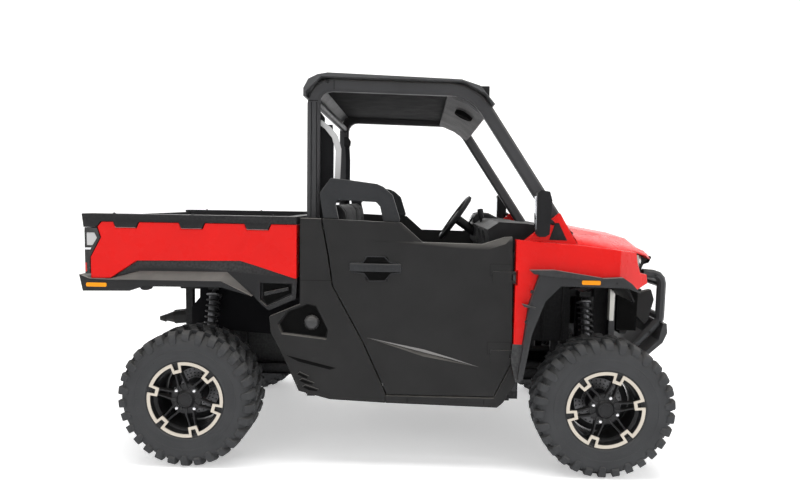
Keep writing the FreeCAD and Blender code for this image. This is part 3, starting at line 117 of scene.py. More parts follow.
FLOOR_RADIUS = 9.0
WALL_RADIUS = 12.0
STEPS_ROUND = 96
STEPS_UP = 12
WALL_MIDDLE = 6.0
WALL_TOP = 9.0
CURVE = WALL_RADIUS - FLOOR_RADIUS
floor_line = [(0.0, 0.0), (FLOOR_RADIUS * 0.5, 0.0), (FLOOR_RADIUS * 0.99, 0.0), (FLOOR_RADIUS, 0.0)]
for step in range(1, STEPS_UP + 1):
    turn = math.radians(90.0 * step / STEPS_UP)
    floor_line.append((FLOOR_RADIUS + CURVE * math.sin(turn), CURVE * (1.0 - math.cos(turn))))
floor_line += [(WALL_RADIUS, WALL_MIDDLE), (WALL_RADIUS, WALL_TOP)]
floor_points = [(0.0, 0.0, 0.0)]
floor_faces = []
for radius, height in floor_line[1:]:
    for index in range(STEPS_ROUND):
        turn = 2.0 * math.pi * index / STEPS_ROUND
        floor_points.append((radius * math.cos(turn), radius * math.sin(turn), height))
for index in range(STEPS_ROUND):
    nearby = (index + 1) % STEPS_ROUND
    floor_faces.append((0, 1 + index, 1 + nearby))
    for row in range(len(floor_line) - 2):
        low = 1 + row * STEPS_ROUND
        floor_faces.append((low + index, low + STEPS_ROUND + index, low + STEPS_ROUND + nearby, low + nearby))
studio_floor = mesh_object("studio_floor", floor_points, floor_faces)
if studio_floor.data.polygons[0].normal.z < 0.0:
    studio_floor.data.flip_normals()
for face in studio_floor.data.polygons:
    face.use_smooth = face.center.z > 0.001
floor_paint = bpy.data.materials.new("studio_floor")
floor_paint.use_nodes = True
fed(floor_paint.node_tree, floor_paint.node_tree.nodes["Principled BSDF"], {
    "Base Color": (0.96, 0.96, 0.96, 1.0), "Roughness": 0.9, "Specular IOR Level": 0.1,
    "Emission Color": (1.0, 1.0, 1.0, 1.0), "Emission Strength": 0.36})
studio_floor.data.materials.append(floor_paint)

world = bpy.data.worlds.new("studio")
bpy.context.scene.world = world
world.use_nodes = True
fed(world.node_tree, world.node_tree.nodes["Background"], {"Color": (1.0, 1.0, 1.0, 1.0), "Strength": 0.35})
bpy.context.scene.view_settings.view_transform = "Standard"


def soft_light(name, place, aim, width, height, power):
    # A rectangular light that faces a point.
    light = bpy.data.lights.new(name, "AREA")
    light.shape = "RECTANGLE"
    light.size = width
    light.size_y = height
    light.energy = power
    lamp = in_scene(name, light)
    lamp.location = place
    lamp.rotation_euler = (Vector(aim) - Vector(place)).to_track_quat("-Z", "Y").to_euler()


soft_light("ceiling_light", (0.0, -0.6, 4.6), (0.0, 0.0, 0.8), 5.5, 2.4, 230.0)
soft_light("front_light", (4.6, -3.4, 2.6), (0.6, 0.0, 0.8), 2.6, 2.6, 35.0)
soft_light("side_light", (-2.6, -5.2, 2.3), (-0.4, 0.0, 0.7), 3.6, 2.6, 25.0)
soft_light("far_light", (-1.5, 5.0, 3.2), (0.0, 0.0, 0.9), 4.0, 2.4, 60.0)


# The ladder frame, its towers and the hitch are welded box tube, powder-coated satin black.
# The sills and the outriggers carry the cab; the towers carry the shocks and the bed's hinge.
def finish(name, tint, roughness, grain=0.0, grain_size=0.0015, mottle=0.10, metal=0.0, coat=0.0, wear=None,
           dust_and_top_light=0.0, specular=0.2):
    # A painted or moulded surface: cloudy tint, patchy gloss, a fine grain, rubbed edges, and dust on upward
    # faces that also paints light from above.
    paint = bpy.data.materials.new(name)
    paint.use_nodes = True
    tree = paint.node_tree
    shader = tree.nodes["Principled BSDF"]
    place = tree.nodes.new("ShaderNodeTexCoord").outputs["Object"]

    def clouds(size, detail, low, high):
        texture = made(tree, "ShaderNodeTexNoise", {
            "Scale": 1.0 / size, "Detail": detail, "Vector": place})
        return made(tree, "ShaderNodeMapRange", {
            "From Min": 0.3, "From Max": 0.7, "To Min": low, "To Max": high,
            "Value": texture.outputs["Fac"]}).outputs["Result"]

    def blended(share, first, second):
        mix = tree.nodes.new("ShaderNodeMix")
        mix.data_type = "RGBA"
        return fed(tree, mix, {"Factor": share, "A": first, "B": second}).outputs["Result"]

    def product(first, second):
        times = tree.nodes.new("ShaderNodeMath")
        times.operation = "MULTIPLY"
        return fed(tree, times, {0: first, 1: second}).outputs["Value"]

    dark = tuple(channel * (1.0 - mottle) for channel in tint) + (1.0,)
    light = tuple(min(1.0, channel * (1.0 + mottle)) for channel in tint) + (1.0,)
    colour = blended(clouds(0.16, 5.0, 0.0, 1.0), dark, light)
    geometry = tree.nodes.new("ShaderNodeNewGeometry")
    # Upward faces are blended towards pale grey: partly settled dust, partly painted light falling from
    # above.
    if dust_and_top_light:
        upright = made(tree, "ShaderNodeSeparateXYZ", {"Vector": geometry.outputs["Normal"]})
        facing_up = made(tree, "ShaderNodeMapRange", {
            "From Min": 0.1, "To Max": dust_and_top_light, "Value": upright.outputs["Z"]})
        cover = product(facing_up.outputs["Result"], clouds(0.09, 5.0, 0.7, 1.0))
        colour = blended(cover, colour, (0.36, 0.34, 0.31, 1.0))
    if wear:
        rubbed = made(tree, "ShaderNodeMapRange", {
            "From Min": 0.53, "From Max": 0.62, "Value": geometry.outputs["Pointiness"]})
        bare = product(rubbed.outputs["Result"], clouds(0.012, 4.0, 0.0, 0.8))
        colour = blended(bare, colour, wear + (1.0,))
    gloss = clouds(0.09, 4.0, max(0.02, roughness - 0.06), min(1.0, roughness + 0.06))
    fed(tree, shader, {"Base Color": colour, "Roughness": gloss, "Metallic": metal,
                       "Specular IOR Level": specular})
    if coat:
        fed(tree, shader, {"Coat Weight": coat, "Coat Roughness": 0.08})
    if grain:
        bump = made(tree, "ShaderNodeBump", {
            "Strength": grain, "Distance": grain_size * 0.35, "Height": clouds(grain_size, 2.0, 0.0, 1.0)})
        fed(tree, shader, {"Normal": bump.outputs["Normal"]})
    return paint


def smooth_faces(mesh, sharp=38.0):
    # Smooth shading that keeps the edges sharper than an angle.
    with opened(mesh) as shape:
        for edge in shape.edges:
            edge.smooth = len(edge.link_faces) == 2 and edge.calc_face_angle(0.0) < math.radians(sharp)
        for face in shape.faces:
            face.smooth = True


def settled(piece):
    # What the modifiers make becomes the piece's own mesh.
    bpy.context.view_layer.update()
    graph = bpy.context.evaluated_depsgraph_get()
    mesh = bpy.data.meshes.new_from_object(piece.evaluated_get(graph))
    piece.modifiers.clear()
    piece.data = mesh
    return piece


def rounded(piece, width, steps=2, sharp=30.0):
    # Edges rounded as a mould or a press leaves them, and shading that keeps the flats flat.
    if width:
        bevel = piece.modifiers.new("rounded_edges", "BEVEL")
        bevel.width = width * MM
        bevel.segments = steps
        bevel.limit_method = "ANGLE"
        bevel.angle_limit = math.radians(sharp)
        settled(piece)
    smooth_faces(piece.data)
    even = piece.modifiers.new("even_shading", "WEIGHTED_NORMAL")
    even.keep_sharp = True
    even.weight = 80
    return settled(piece)


def carried(piece, paint, body):
    # One finish on a piece that rides one body.
    piece.data.materials.clear()
    piece.data.materials.append(paint)
    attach(piece, body)
    return piece


def dressed(node, paint, edge, steps=2):
    # A copy of a solid's own mesh with merged corners and rounded edges, standing for the solid.
    piece = in_scene(node + "_dressed", nodes[node].data.copy())
    with opened(piece.data) as shape:
        bmesh.ops.remove_doubles(shape, verts=shape.verts, dist=2e-5)
        bmesh.ops.dissolve_limit(shape, angle_limit=math.radians(0.6), verts=shape.verts, edges=shape.edges)
    rounded(piece, edge, steps)
    carried(piece, paint, BODY[node])
    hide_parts(node)


powder_coat = finish("frame_powder_coat", (0.012, 0.012, 0.013), 0.45, grain=0.25, grain_size=0.0009,
                     wear=(0.05, 0.05, 0.05), dust_and_top_light=0.05, specular=0.12)
dressed("frame", powder_coat, 3.0)
dressed("frame_towers", powder_coat, 2.0)

# The skid plate is one sheet of hard black plastic under the rails, pressed with long ribs.
# It is held by flat screws, and its front edge meets the guard.
skid_plastic = finish("skid_plastic", (0.012, 0.012, 0.013), 0.6, grain=0.35, grain_size=0.002, specular=0.12)
dressed("skid_plate", skid_plastic, 1.2)


# Double A-arms of round tube swing the wheels on welded sleeves; the steering rack's tie rods run in front.
# Each corner has a gas damper with a wound steel spring between two seats.
def aligned(foot, head):
    # The turn and shift that lay the Z axis along a line, in metres from points in millimetres.
    start, end = Vector(foot) * MM, Vector(head) * MM
    return Matrix.Translation(start) @ (end - start).to_track_quat("Z", "Y").to_matrix().to_4x4()


def strip(name, stations):
    # A closed form through stations that have the same number of points.
    points = [point for station in stations for point in station]
    size = len(stations[0])
    faces = [tuple(range(size)), tuple(range(len(points) - size, len(points)))]
    for row in range(len(stations) - 1):
        for column in range(size):
            after = (column + 1) % size
            faces.append((row * size + column, row * size + after, (row + 1) * size + after,
                          (row + 1) * size + column))
    return mesh_object(name, points, faces)


def lathe(name, foot, head, outline, steps=24):
    # A closed form turned about a line: distances along it and radii, in millimetres.
    turns = [2.0 * math.pi * index / steps for index in range(steps)]
    piece = strip(name, [[(radius * math.cos(turn) * MM, radius * math.sin(turn) * MM, distance * MM)
                          for turn in turns] for distance, radius in outline])
    piece.data.transform(aligned(foot, head))
    smooth_faces(piece.data)
    return piece


def tree_for(name, inputs):
    # An empty node tree with named inputs, for one kind of repeat.
    tree = bpy.data.node_groups.new(name, "GeometryNodeTree")
    tree.interface.new_socket(name="Geometry", in_out="INPUT", socket_type="NodeSocketGeometry")
    for label, kind in inputs:
        tree.interface.new_socket(name=label, in_out="INPUT", socket_type=kind)
    tree.interface.new_socket(name="Geometry", in_out="OUTPUT", socket_type="NodeSocketGeometry")
    return tree, tree.nodes.new("NodeGroupInput").outputs, tree.nodes.new("NodeGroupOutput").inputs


def painted(tree, geometry, paint, out):
    # The end of every tree: instances made real, then given their finish.
    real = made(tree, "GeometryNodeRealizeInstances", {"Geometry": geometry})
    coat = made(tree, "GeometryNodeSetMaterial", {
        "Geometry": real.outputs["Geometry"], "Material": paint})
    tree.links.new(coat.outputs["Geometry"], out)


def placed(tree, carrier, turn, piece, paint, out):
    # Instances on the carrier's points, turned and painted.
    source = made(tree, "GeometryNodeObjectInfo", {"Object": piece})
    instances = made(tree, "GeometryNodeInstanceOnPoints", {
        "Points": carrier, "Instance": source.outputs["Geometry"], "Rotation": turn})
    painted(tree, instances.outputs["Instances"], paint, out)


def from_tree(name, tree, values, points=()):
    # The mesh that a node tree makes, as a plain object; some trees start from points in millimetres.
    mesh = bpy.data.meshes.new(name)
    mesh.from_pydata([tuple(value * MM for value in place) for place in points], [], [])
    piece = in_scene(name, mesh)
    maker = piece.modifiers.new("maker", "NODES")
    maker.node_group = tree
    for item in tree.interface.items_tree:
        if item.in_out == "INPUT" and item.name in values:
            maker[item.identifier] = values[item.name]
    return settled(piece)


def joined(name, pieces):
    # Several meshes of one finish as one.
    shape = bmesh.new()
    for piece in pieces:
        shape.from_mesh(piece.data)
        bpy.data.objects.remove(piece)
    for face in shape.faces:
        face.material_index = 0
    mesh = bpy.data.meshes.new(name)
    shape.to_mesh(mesh)
    shape.free()
    return in_scene(name, mesh)


def added(name, pieces, paint, body):
    # Pieces of one finish that ride one body, as one object.
    return carried(joined(name, pieces), paint, body)


def spring_tree():
    # A wire wound round the Z axis from named sizes.
    tree, given, out = tree_for("wound_spring", (
        ("Radius", "NodeSocketFloat"), ("Wire", "NodeSocketFloat"), ("Height", "NodeSocketFloat"),
        ("Turns", "NodeSocketFloat"), ("Paint", "NodeSocketMaterial")))
    coil = made(tree, "GeometryNodeCurveSpiral", {
        "Resolution": 26, "Rotations": given["Turns"], "Start Radius": given["Radius"],
        "End Radius": given["Radius"], "Height": given["Height"]})
    section = made(tree, "GeometryNodeCurvePrimitiveCircle", {
        "Resolution": 8, "Radius": given["Wire"]})
    sweep = made(tree, "GeometryNodeCurveToMesh", {
        "Fill Caps": True, "Curve": coil.outputs["Curve"], "Profile Curve": section.outputs["Curve"]})
    painted(tree, sweep.outputs["Mesh"], given["Paint"], out["Geometry"])
    return tree


arm_coat = finish("arm_powder_coat", (0.013, 0.013, 0.014), 0.38, grain=0.2, grain_size=0.0009,
                  wear=(0.08, 0.08, 0.08), dust_and_top_light=0.05, specular=0.14)
dressed("suspension_arms", arm_coat, 1.5)
dressed("steering_rack", arm_coat, 1.0)

DAMPER_TOP_Y = -320.0
DAMPER_FOOT_Y = -440.0
DAMPER_TOP_Z = 815.0
DAMPER_FOOT_Z = 486.0
SPRING_WIRE = 6.0
SPRING_RADIUS = 35.0
SPRING_FOOT = 45.0
SPRING_TURNS = 8.5
SEAT_ROOM = 84.0
AXLES_X = (1070.0, -970.0)
spring_steel = finish("spring_steel", (0.012, 0.012, 0.013), 0.42, coat=0.1, wear=(0.05, 0.05, 0.05),
                      dust_and_top_light=0.03)
damper_steel = finish("damper_steel", (0.10, 0.10, 0.105), 0.35, metal=0.8, wear=(0.3, 0.3, 0.3))
WOUND_SPRING = spring_tree()
dampers = []
springs = []
for axle_x in AXLES_X:
    for side in (-1.0, 1.0):
        foot = (axle_x, -side * DAMPER_FOOT_Y, DAMPER_FOOT_Z)
        head = (axle_x, -side * DAMPER_TOP_Y, DAMPER_TOP_Z)
        length = (Vector(head) - Vector(foot)).length
        dampers.append(lathe("damper", foot, head, [
            (0.0, 7.0), (0.0, 15.0), (22.0, 15.0), (25.0, 11.0), (28.0, 11.0), (31.0, 36.0), (33.0, 43.0),
            (38.0, 43.0), (41.0, 30.0), (46.0, 21.0), (length - 150.0, 21.0), (length - 148.0, 24.0),
            (length - 60.0, 24.0), (length - 58.0, 27.0), (length - 34.0, 27.0), (length - 32.0, 40.0),
            (length - 29.0, 42.0), (length - 24.0, 42.0), (length - 21.0, 20.0), (length - 12.0, 16.0),
            (length - 2.0, 15.0), (length, 12.0)], 20))
        spring = from_tree("spring", WOUND_SPRING, {
            "Radius": SPRING_RADIUS * MM, "Wire": SPRING_WIRE * MM, "Height": (length - SEAT_ROOM) * MM,
            "Turns": SPRING_TURNS, "Paint": spring_steel})
        spring.data.transform(aligned(foot, head) @ Matrix.Translation((0.0, 0.0, SPRING_FOOT * MM)))
        smooth_faces(spring.data, 60.0)
        springs.append(spring)
damper_bodies = added("damper_bodies", dampers, damper_steel, "chassis")
added("coil_springs", springs, spring_steel, "chassis")
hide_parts("shocks")

# Cast aluminium cases: the power unit, the two axle cases, the knuckles and the rear hub carriers.
# The half shafts run out of the axle cases, and pleated rubber boots close both joints of each.
cast_alloy = finish("cast_alloy", (0.030, 0.030, 0.031), 0.55, grain=0.5, grain_size=0.0016, metal=0.3,
                    wear=(0.10, 0.10, 0.10), dust_and_top_light=0.06, specular=0.14)
for name in ("engine", "driveline", "rear_uprights", "knuckle_left", "knuckle_right"):
    dressed(name, cast_alloy, 4.0 if name == "engine" else 1.5)
boot_rubber = finish("boot_rubber", (0.014, 0.014, 0.015), 0.5, grain=0.2, specular=0.16)
BOOT_INNER_Z = 455.0
AXLE_Z = 339.0
PLEATS = 5
PLEAT_STEP = 14.0
boots = []
for axle_x, case_y, hub_y in ((AXLES_X[0], 110.0, 577.0), (AXLES_X[1], 130.0, 553.0)):
    for side in (-1.0, 1.0):
        inner = Vector((axle_x, side * (case_y + 6.0), BOOT_INNER_Z))
        outer = Vector((axle_x, side * (hub_y - 4.0), AXLE_Z))
        for start, end, wide in ((inner, outer, 42.5), (outer, inner, 38.5)):
            pleats = [(8.0, wide - 3.0), (9.0, wide), (30.0, wide), (32.0, wide - 2.0)]
            for pleat in range(PLEATS):
                crest = wide - 2.0 - pleat * (wide - 22.0) / PLEATS
                pleats += [(38.0 + pleat * PLEAT_STEP, crest - 8.0), (45.0 + pleat * PLEAT_STEP, crest)]
            pleats += [(116.0, 16.0), (126.0, 16.0), (127.0, 14.0)]
            boots.append(lathe("boot", start, end, pleats, 24))
added("shaft_boots", boots, boot_rubber, "chassis")


# Four off-road tyres: a black rubber carcass with two rings of shoulder lugs, long and short in turn,
# and skewed blocks between them. Each is moulded whole and seated on its rim's beads.
def ring_point(y, radius, degrees):
    # A point round the Y axis in millimetres; no turn is straight down.
    turn = math.radians(degrees)
    return (radius * math.sin(turn) * MM, y * MM, -radius * math.cos(turn) * MM)


def turned(name, outline, steps, closed=True):
    # A closed (y, radius) outline in millimetres, turned round the Y axis.
    points = [ring_point(y, radius, 360.0 * index / steps) for index in range(steps) for y, radius in outline]
    count = len(outline)
    faces = []
    for index in range(steps):
        low = index * count
        high = ((index + 1) % steps) * count
        for row in range(count if closed else count - 1):
            after = (row + 1) % count
            faces.append((low + row, low + after, high + after, high + row))
    return mesh_object(name, points, faces)


def round_tree():
    # A piece repeated round the Y axis, from named steps.
    tree, given, out = tree_for("repeat_round_an_axle", (
        ("Piece", "NodeSocketObject"), ("Count", "NodeSocketInt"), ("Step", "NodeSocketFloat"),
        ("Start", "NodeSocketFloat"), ("Paint", "NodeSocketMaterial")))
    line = made(tree, "GeometryNodeMeshLine", {
        "Offset": (0.0, 0.0, 0.0), "Count": given["Count"]})
    index = tree.nodes.new("GeometryNodeInputIndex")
    angle = tree.nodes.new("ShaderNodeMath")
    angle.operation = "MULTIPLY_ADD"
    fed(tree, angle, {0: index.outputs["Index"], 1: given["Step"], 2: given["Start"]})
    turn = made(tree, "ShaderNodeCombineXYZ", {"Y": angle.outputs["Value"]})
    rotation = made(tree, "FunctionNodeEulerToRotation", {"Euler": turn.outputs["Vector"]})
    placed(tree, line.outputs["Mesh"], rotation.outputs["Rotation"], given["Piece"], given["Paint"],
           out["Geometry"])
    return tree


REPEAT_ROUND = round_tree()


def repeated_round(name, seed, count, paint, start=0.0):
    # A copy of the seed every equal share of a turn round the Y axis; the seed itself goes.
    piece = from_tree(name, REPEAT_ROUND, {
        "Piece": seed, "Count": count, "Step": 2.0 * math.pi / count, "Start": math.radians(start),
        "Paint": paint})
    bpy.data.objects.remove(seed)
    return piece


def shifted(piece, place, mirror=False):
    # Moves a mesh to its place, first turned over to the left side where it belongs there.
    if mirror:
        piece.data.transform(Matrix.Scale(-1.0, 4, (0.0, 1.0, 0.0)))
        piece.data.flip_normals()
    piece.data.transform(Matrix.Translation(place))
    return piece


BEAD_RADIUS = 178.0
TREAD_FOOT = 314.0
TREAD_HEAD = 338.6
LUG_FOOT = 3.7
LUG_HEAD = 3.1


def carcass(half):
    # The rubber ring from bead to bead, over both side walls and the tread's floor.
    side = [(half - 24.0, BEAD_RADIUS), (half - 15.0, 186.0), (half - 9.0, 196.0), (half - 6.5, 198.0),
            (half - 6.0, 204.0), (half - 7.5, 207.0), (half - 4.0, 226.0), (half - 3.0, 244.0),
            (half - 3.0, 247.0), (half - 1.8, 248.0), (half - 1.8, 251.0), (half - 3.2, 252.0),
            (half - 4.5, 272.0), (half - 9.0, 290.0), (half - 17.0, 305.0), (half - 32.0, 315.0),
            (half - 62.0, 318.5)]
    outline = side + [(-y, radius) for y, radius in side[::-1]]
    return turned("carcass", outline, 120)


def shoulder_lug(half, long_lug, side):
    # From the tread's face over the shoulder; the long lug runs down to the wide part of the side wall.
    stations = [(half - 60.0, 338.2, 313.0, 0.0, 1.0), (half - 40.0, 338.6, 312.0, 0.3, 1.0),
                (half - 24.0, 337.0, 308.0, 0.6, 1.0), (half - 9.0, 328.0, 302.0, 0.9, 1.0),
                (half - 3.0, 314.0, 296.0, 1.1, 0.98), (half - 0.8, 300.0, 290.0, 1.1, 0.94)]
    if long_lug:
        stations += [(half - 0.4, 290.0, 283.0, 1.1, 0.84), (half - 1.6, 279.0, 274.0, 1.0, 0.62)]
    sections = []
    for row, (y, head, foot, lean, share) in enumerate(stations):
        inner_y = y - (0.0 if row < 2 else min(10.0, (row - 1) * 3.6))
        sections.append([
            ring_point(side * inner_y, foot, side * lean - LUG_FOOT * share),
            ring_point(side * y, head, side * lean - LUG_HEAD * share),
            ring_point(side * y, head, side * lean + LUG_HEAD * share),
            ring_point(side * inner_y, foot, side * lean + LUG_FOOT * share),
        ])
    return strip("lug", sections)


def middle_block(half, side):
    # A skewed block beside the tread's centre line, with a notch in its leading edge.
    inner, outer = 5.0, half - 67.0
    sections = []
    for share in (0.0, 0.45, 0.55, 1.0):
        y = inner + (outer - inner) * share
        lean = 4.4 * share - 2.2
        notch = 1.3 if share in (0.45, 0.55) else 0.0
        foot, head = LUG_FOOT + 0.3, LUG_HEAD + 0.2
        sections.append([
            ring_point(side * y, TREAD_FOOT, side * lean - foot),
            ring_point(side * y, TREAD_HEAD, side * lean - head),
            ring_point(side * y, TREAD_HEAD, side * lean + head - notch),
            ring_point(side * y, TREAD_FOOT, side * lean + foot - notch),
        ])
    return strip("block", sections)


def rib(half, side):
    # One of the fine ribs moulded across the side wall.
    return strip("rib", [[
        ring_point(side * (half - 5.2), radius, -width), ring_point(side * (half - 2.6), radius, -width),
        ring_point(side * (half - 2.6), radius, width), ring_point(side * (half - 5.2), radius, width),
    ] for radius, width in ((230.0, 0.34), (240.0, 0.34))])


tyre_rubber = finish("tyre_rubber", (0.044, 0.045, 0.047), 0.75, grain=0.4, grain_size=0.002, dust_and_top_light=0.12,
                     specular=0.12)
LUGS_ROUND = 15
BLOCKS_ROUND = 30
RIBS_ROUND = 90


def tyre(name, width, place, mirror, body):
    # A whole tyre: its carcass, both rings of lugs, the blocks and the side walls' ribs.
    half = width / 2.0
    rings = [carcass(half)]
    for side in (-1, 1):
        for seed, start, count in (
                (shoulder_lug(half, True, side), 0.0 if side < 0 else 12.0, LUGS_ROUND),
                (shoulder_lug(half, False, side), 12.0 if side < 0 else 24.0, LUGS_ROUND),
                (middle_block(half, side), 3.0 if side < 0 else 9.0, BLOCKS_ROUND),
                (rib(half, side), 0.0, RIBS_ROUND)):
            if count != RIBS_ROUND:
                rounded(seed, 1.6, 1)
            rings.append(repeated_round("ring", seed, count, tyre_rubber, start))
    piece = joined(name, rings)
    smooth_faces(piece.data, 40.0)
    shifted(piece, place, mirror)
    carried(piece, tyre_rubber, body)
    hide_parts("tyre_" + body[-2:])


CORNERS = {
    "fr": ("wheel_fr", 229.0, (1.070, -0.6855, 0.339), False),
    "rr": ("wheel_rr", 279.0, (-0.970, -0.6605, 0.339), False),
    "fl": ("wheel_fl", 229.0, (1.070, 0.6855, 0.339), True),
    "rl": ("wheel_rl", 279.0, (-0.970, 0.6605, 0.339), True),
}
for corner, (body, width, place, mirror) in CORNERS.items():
    tyre("tyre_" + corner + "_dressed", width, place, mirror, body)

# Cast alloy rims: a black barrel, six split spokes and a hub, with a machined ring on the face.
# The ring runs round the spokes' open ends; four plated nuts hold the rim to its hub.
RING_OUTER = 189.5
RING_INNER = 172.0
RING_SLOT = ((15.0, 188.9), (11.0, 152.0))
RING_WEB = ((25.5, 170.2), (21.5, 136.0))
RING_DEPTH = 6.0
RING_STEPS = 10
SPOKES = 6
SPOKE_TURN = 360.0 / SPOKES
NUT_CIRCLE = 62.0
NUTS = 4
DISC_THICKNESS = 6.0


def rim_between(name, rings):
    # A closed rim through four rings of points: outer and inner on one plane, then on the other.
    count = len(rings[0])
    faces = []
    for index in range(count):
        after = (index + 1) % count
        for low, high in ((0, count), (count * 2, count * 3), (0, count * 2), (count, count * 3)):
            faces.append((low + index, low + after, high + after, high + index))
    return mesh_object(name, [point for ring in rings for point in ring], faces)


def face_ring(face_y, first_turn):
    # One closed band that follows the arcs and dips round each of the six slots.
    outer, inner = [], []

    def flat_point(across, radius, turn):
        # A point on the face: its way across the spoke, its radius and the spoke's own turn.
        angle = math.radians(turn)
        return (math.sin(angle) * radius - math.cos(angle) * across, math.cos(angle) * radius
                + math.sin(angle) * across)

    for index in range(SPOKES):
        turn = first_turn + SPOKE_TURN * index
        for side in (1.0, -1.0):
            order = (0, 1) if side > 0.0 else (1, 0)
            for row in order:
                outer.append(flat_point(side * RING_SLOT[row][0], RING_SLOT[row][1], turn))
                inner.append(flat_point(side * RING_WEB[row][0], RING_WEB[row][1], turn))
        for step in range(1, RING_STEPS):
            share = step / RING_STEPS
            outer_turn = math.radians(turn + 4.55 + (SPOKE_TURN - 9.1) * share)
            inner_turn = math.radians(turn + 8.5 + (SPOKE_TURN - 17.0) * share)
            outer.append((math.sin(outer_turn) * RING_OUTER, math.cos(outer_turn) * RING_OUTER))
            inner.append((math.sin(inner_turn) * RING_INNER, math.cos(inner_turn) * RING_INNER))
    return rounded(rim_between("face_ring", [
        [(x * MM, y * MM, z * MM) for x, z in line]
        for y in (face_y, face_y + RING_DEPTH) for line in (outer, inner)]), 1.0, 2)


def split_spoke(edge_y):
    # The two bars that run from the bottom of a slot to the hub, one beside the other.
    bars = []
    for side in (-1.0, 1.0):
        stations = []
        for radius, near, far, front, back in ((150.0, 8.0, 21.0, 3.0, 26.0), (136.0, 8.5, 18.5, 4.0, 27.0),
                                               (104.0, 10.5, 20.5, 8.0, 31.0), (78.0, 12.5, 24.0, 11.0, 36.0),
                                               (44.0, 3.0, 26.0, 13.5, 40.0)):
            stations.append([(side * x * MM, (edge_y + y) * MM, -radius * MM) for x, y in (
                (near + 1.5, front), (far - 1.5, front), (far + 1.5, back), (near - 1.5, back))])
        bars.append(strip("bar", stations))
    web = strip("web", [[(x * MM, (edge_y + y) * MM, -radius * MM) for x, y in (
        (-wide, front), (wide, front), (wide, 26.0), (-wide, 26.0))]
        for radius, wide, front in ((176.0, 24.0, 12.0), (151.0, 21.0, 12.0), (137.0, 20.0, 4.0))])
    return rounded(joined("split_spoke", bars + [web]), 1.4, 2)


def barrel(edge):
    # From the outer flange over the bead seats and the drop centre to the inner flange.
    outside = [(-edge, 188.5), (-edge, 191.5), (3.0 - edge, 191.8), (8.0 - edge, 186.0), (12.0 - edge, 177.0),
               (30.0 - edge, 175.0), (38.0 - edge, 160.0), (edge - 46.0, 160.0), (edge - 30.0, 175.0),
               (edge - 12.0, 177.0), (edge - 8.0, 186.0), (edge - 3.0, 191.8), (edge, 191.5)]
    inside = [(edge, 186.0), (edge - 10.0, 172.0), (edge - 34.0, 169.0), (edge - 50.0, 154.0),
              (44.0 - edge, 154.0), (33.0 - edge, 168.0), (8.0 - edge, 171.0), (8.0 - edge, 188.5)]
    return turned("barrel", outside + inside, 72)


def hub_cover(edge_y):
    # The spokes' hub with its raised rim and the blank cap in the middle.
    return turned("hub_cover", [
        (edge_y + 44.0, 0.0), (edge_y + 44.0, 74.0), (edge_y + 20.0, 76.0), (edge_y + 17.0, 72.0),
        (edge_y + 17.0, 46.0), (edge_y + 9.0, 38.0), (edge_y + 3.0, 36.0), (edge_y + 1.5, 34.0),
        (edge_y + 1.5, 31.0), (edge_y + 3.5, 30.0), (edge_y + 2.0, 18.0), (edge_y + 1.6, 0.0)], 48,
        closed=False)


def wheel_nut(edge_y):
    # A six-sided nut at the foot of its circle.
    base = edge_y + 18.0
    nut = turned("nut", [(base, 0.0), (base, 10.5), (base - 4.0, 9.5), (base - 15.0, 8.5),
                         (base - 18.0, 5.0), (base - 18.5, 0.0)], 6, closed=False)
    return shifted(nut, (0.0, 0.0, -NUT_CIRCLE * MM))


def brake_disc(near, far):
    # A steel ring drilled right through, with three rows of holes.
    points, faces = [], []
    radii = (66.0, 83.0, 100.0, 118.0)
    closed_sides = {0: (0, 1), 2: (4, 5)}
    hole_radius = 4.2
    cells = 30
    step = 360.0 / cells
    for row in range(3):
        low, high = radii[row], radii[row + 1]
        centre = (low + high) / 2.0
        rim = [(low, 0.0), (low, 0.5), (low, 1.0), (centre, 1.0), (high, 1.0), (high, 0.5), (high, 0.0),
               (centre, 0.0)]
        for index in range(cells):
            start = len(points)
            turn = step * index
            ring = []
            for number in range(8):
                angle = math.radians(225.0 + 45.0 * number)
                ring.append((centre + hole_radius * math.sin(angle), turn + step / 2.0
                             + math.degrees(hole_radius * math.cos(angle) / centre)))
            for y in (near, far):
                points += [ring_point(y, radius, turn + share * step) for radius, share in rim]
                points += [ring_point(y, radius, angle) for radius, angle in ring]
            for number in range(8):
                after = (number + 1) % 8
                for near_row, far_row in ((0, 8), (16, 24), (8, 24)):
                    faces.append((start + near_row + number, start + near_row + after,
                                  start + far_row + after, start + far_row + number))
            for number in closed_sides.get(row, ()):
                first = start + number
                faces.append((first, first + 1, first + 17, first + 16))
    return mesh_object("brake_disc", points, faces)


def arc_piece(name, outline, start, end, steps):
    # A (y, radius) outline swept through part of a turn round the axle.
    return strip(name, [[ring_point(y, radius, start + (end - start) * step / steps) for y, radius in outline]
                        for step in range(steps + 1)])


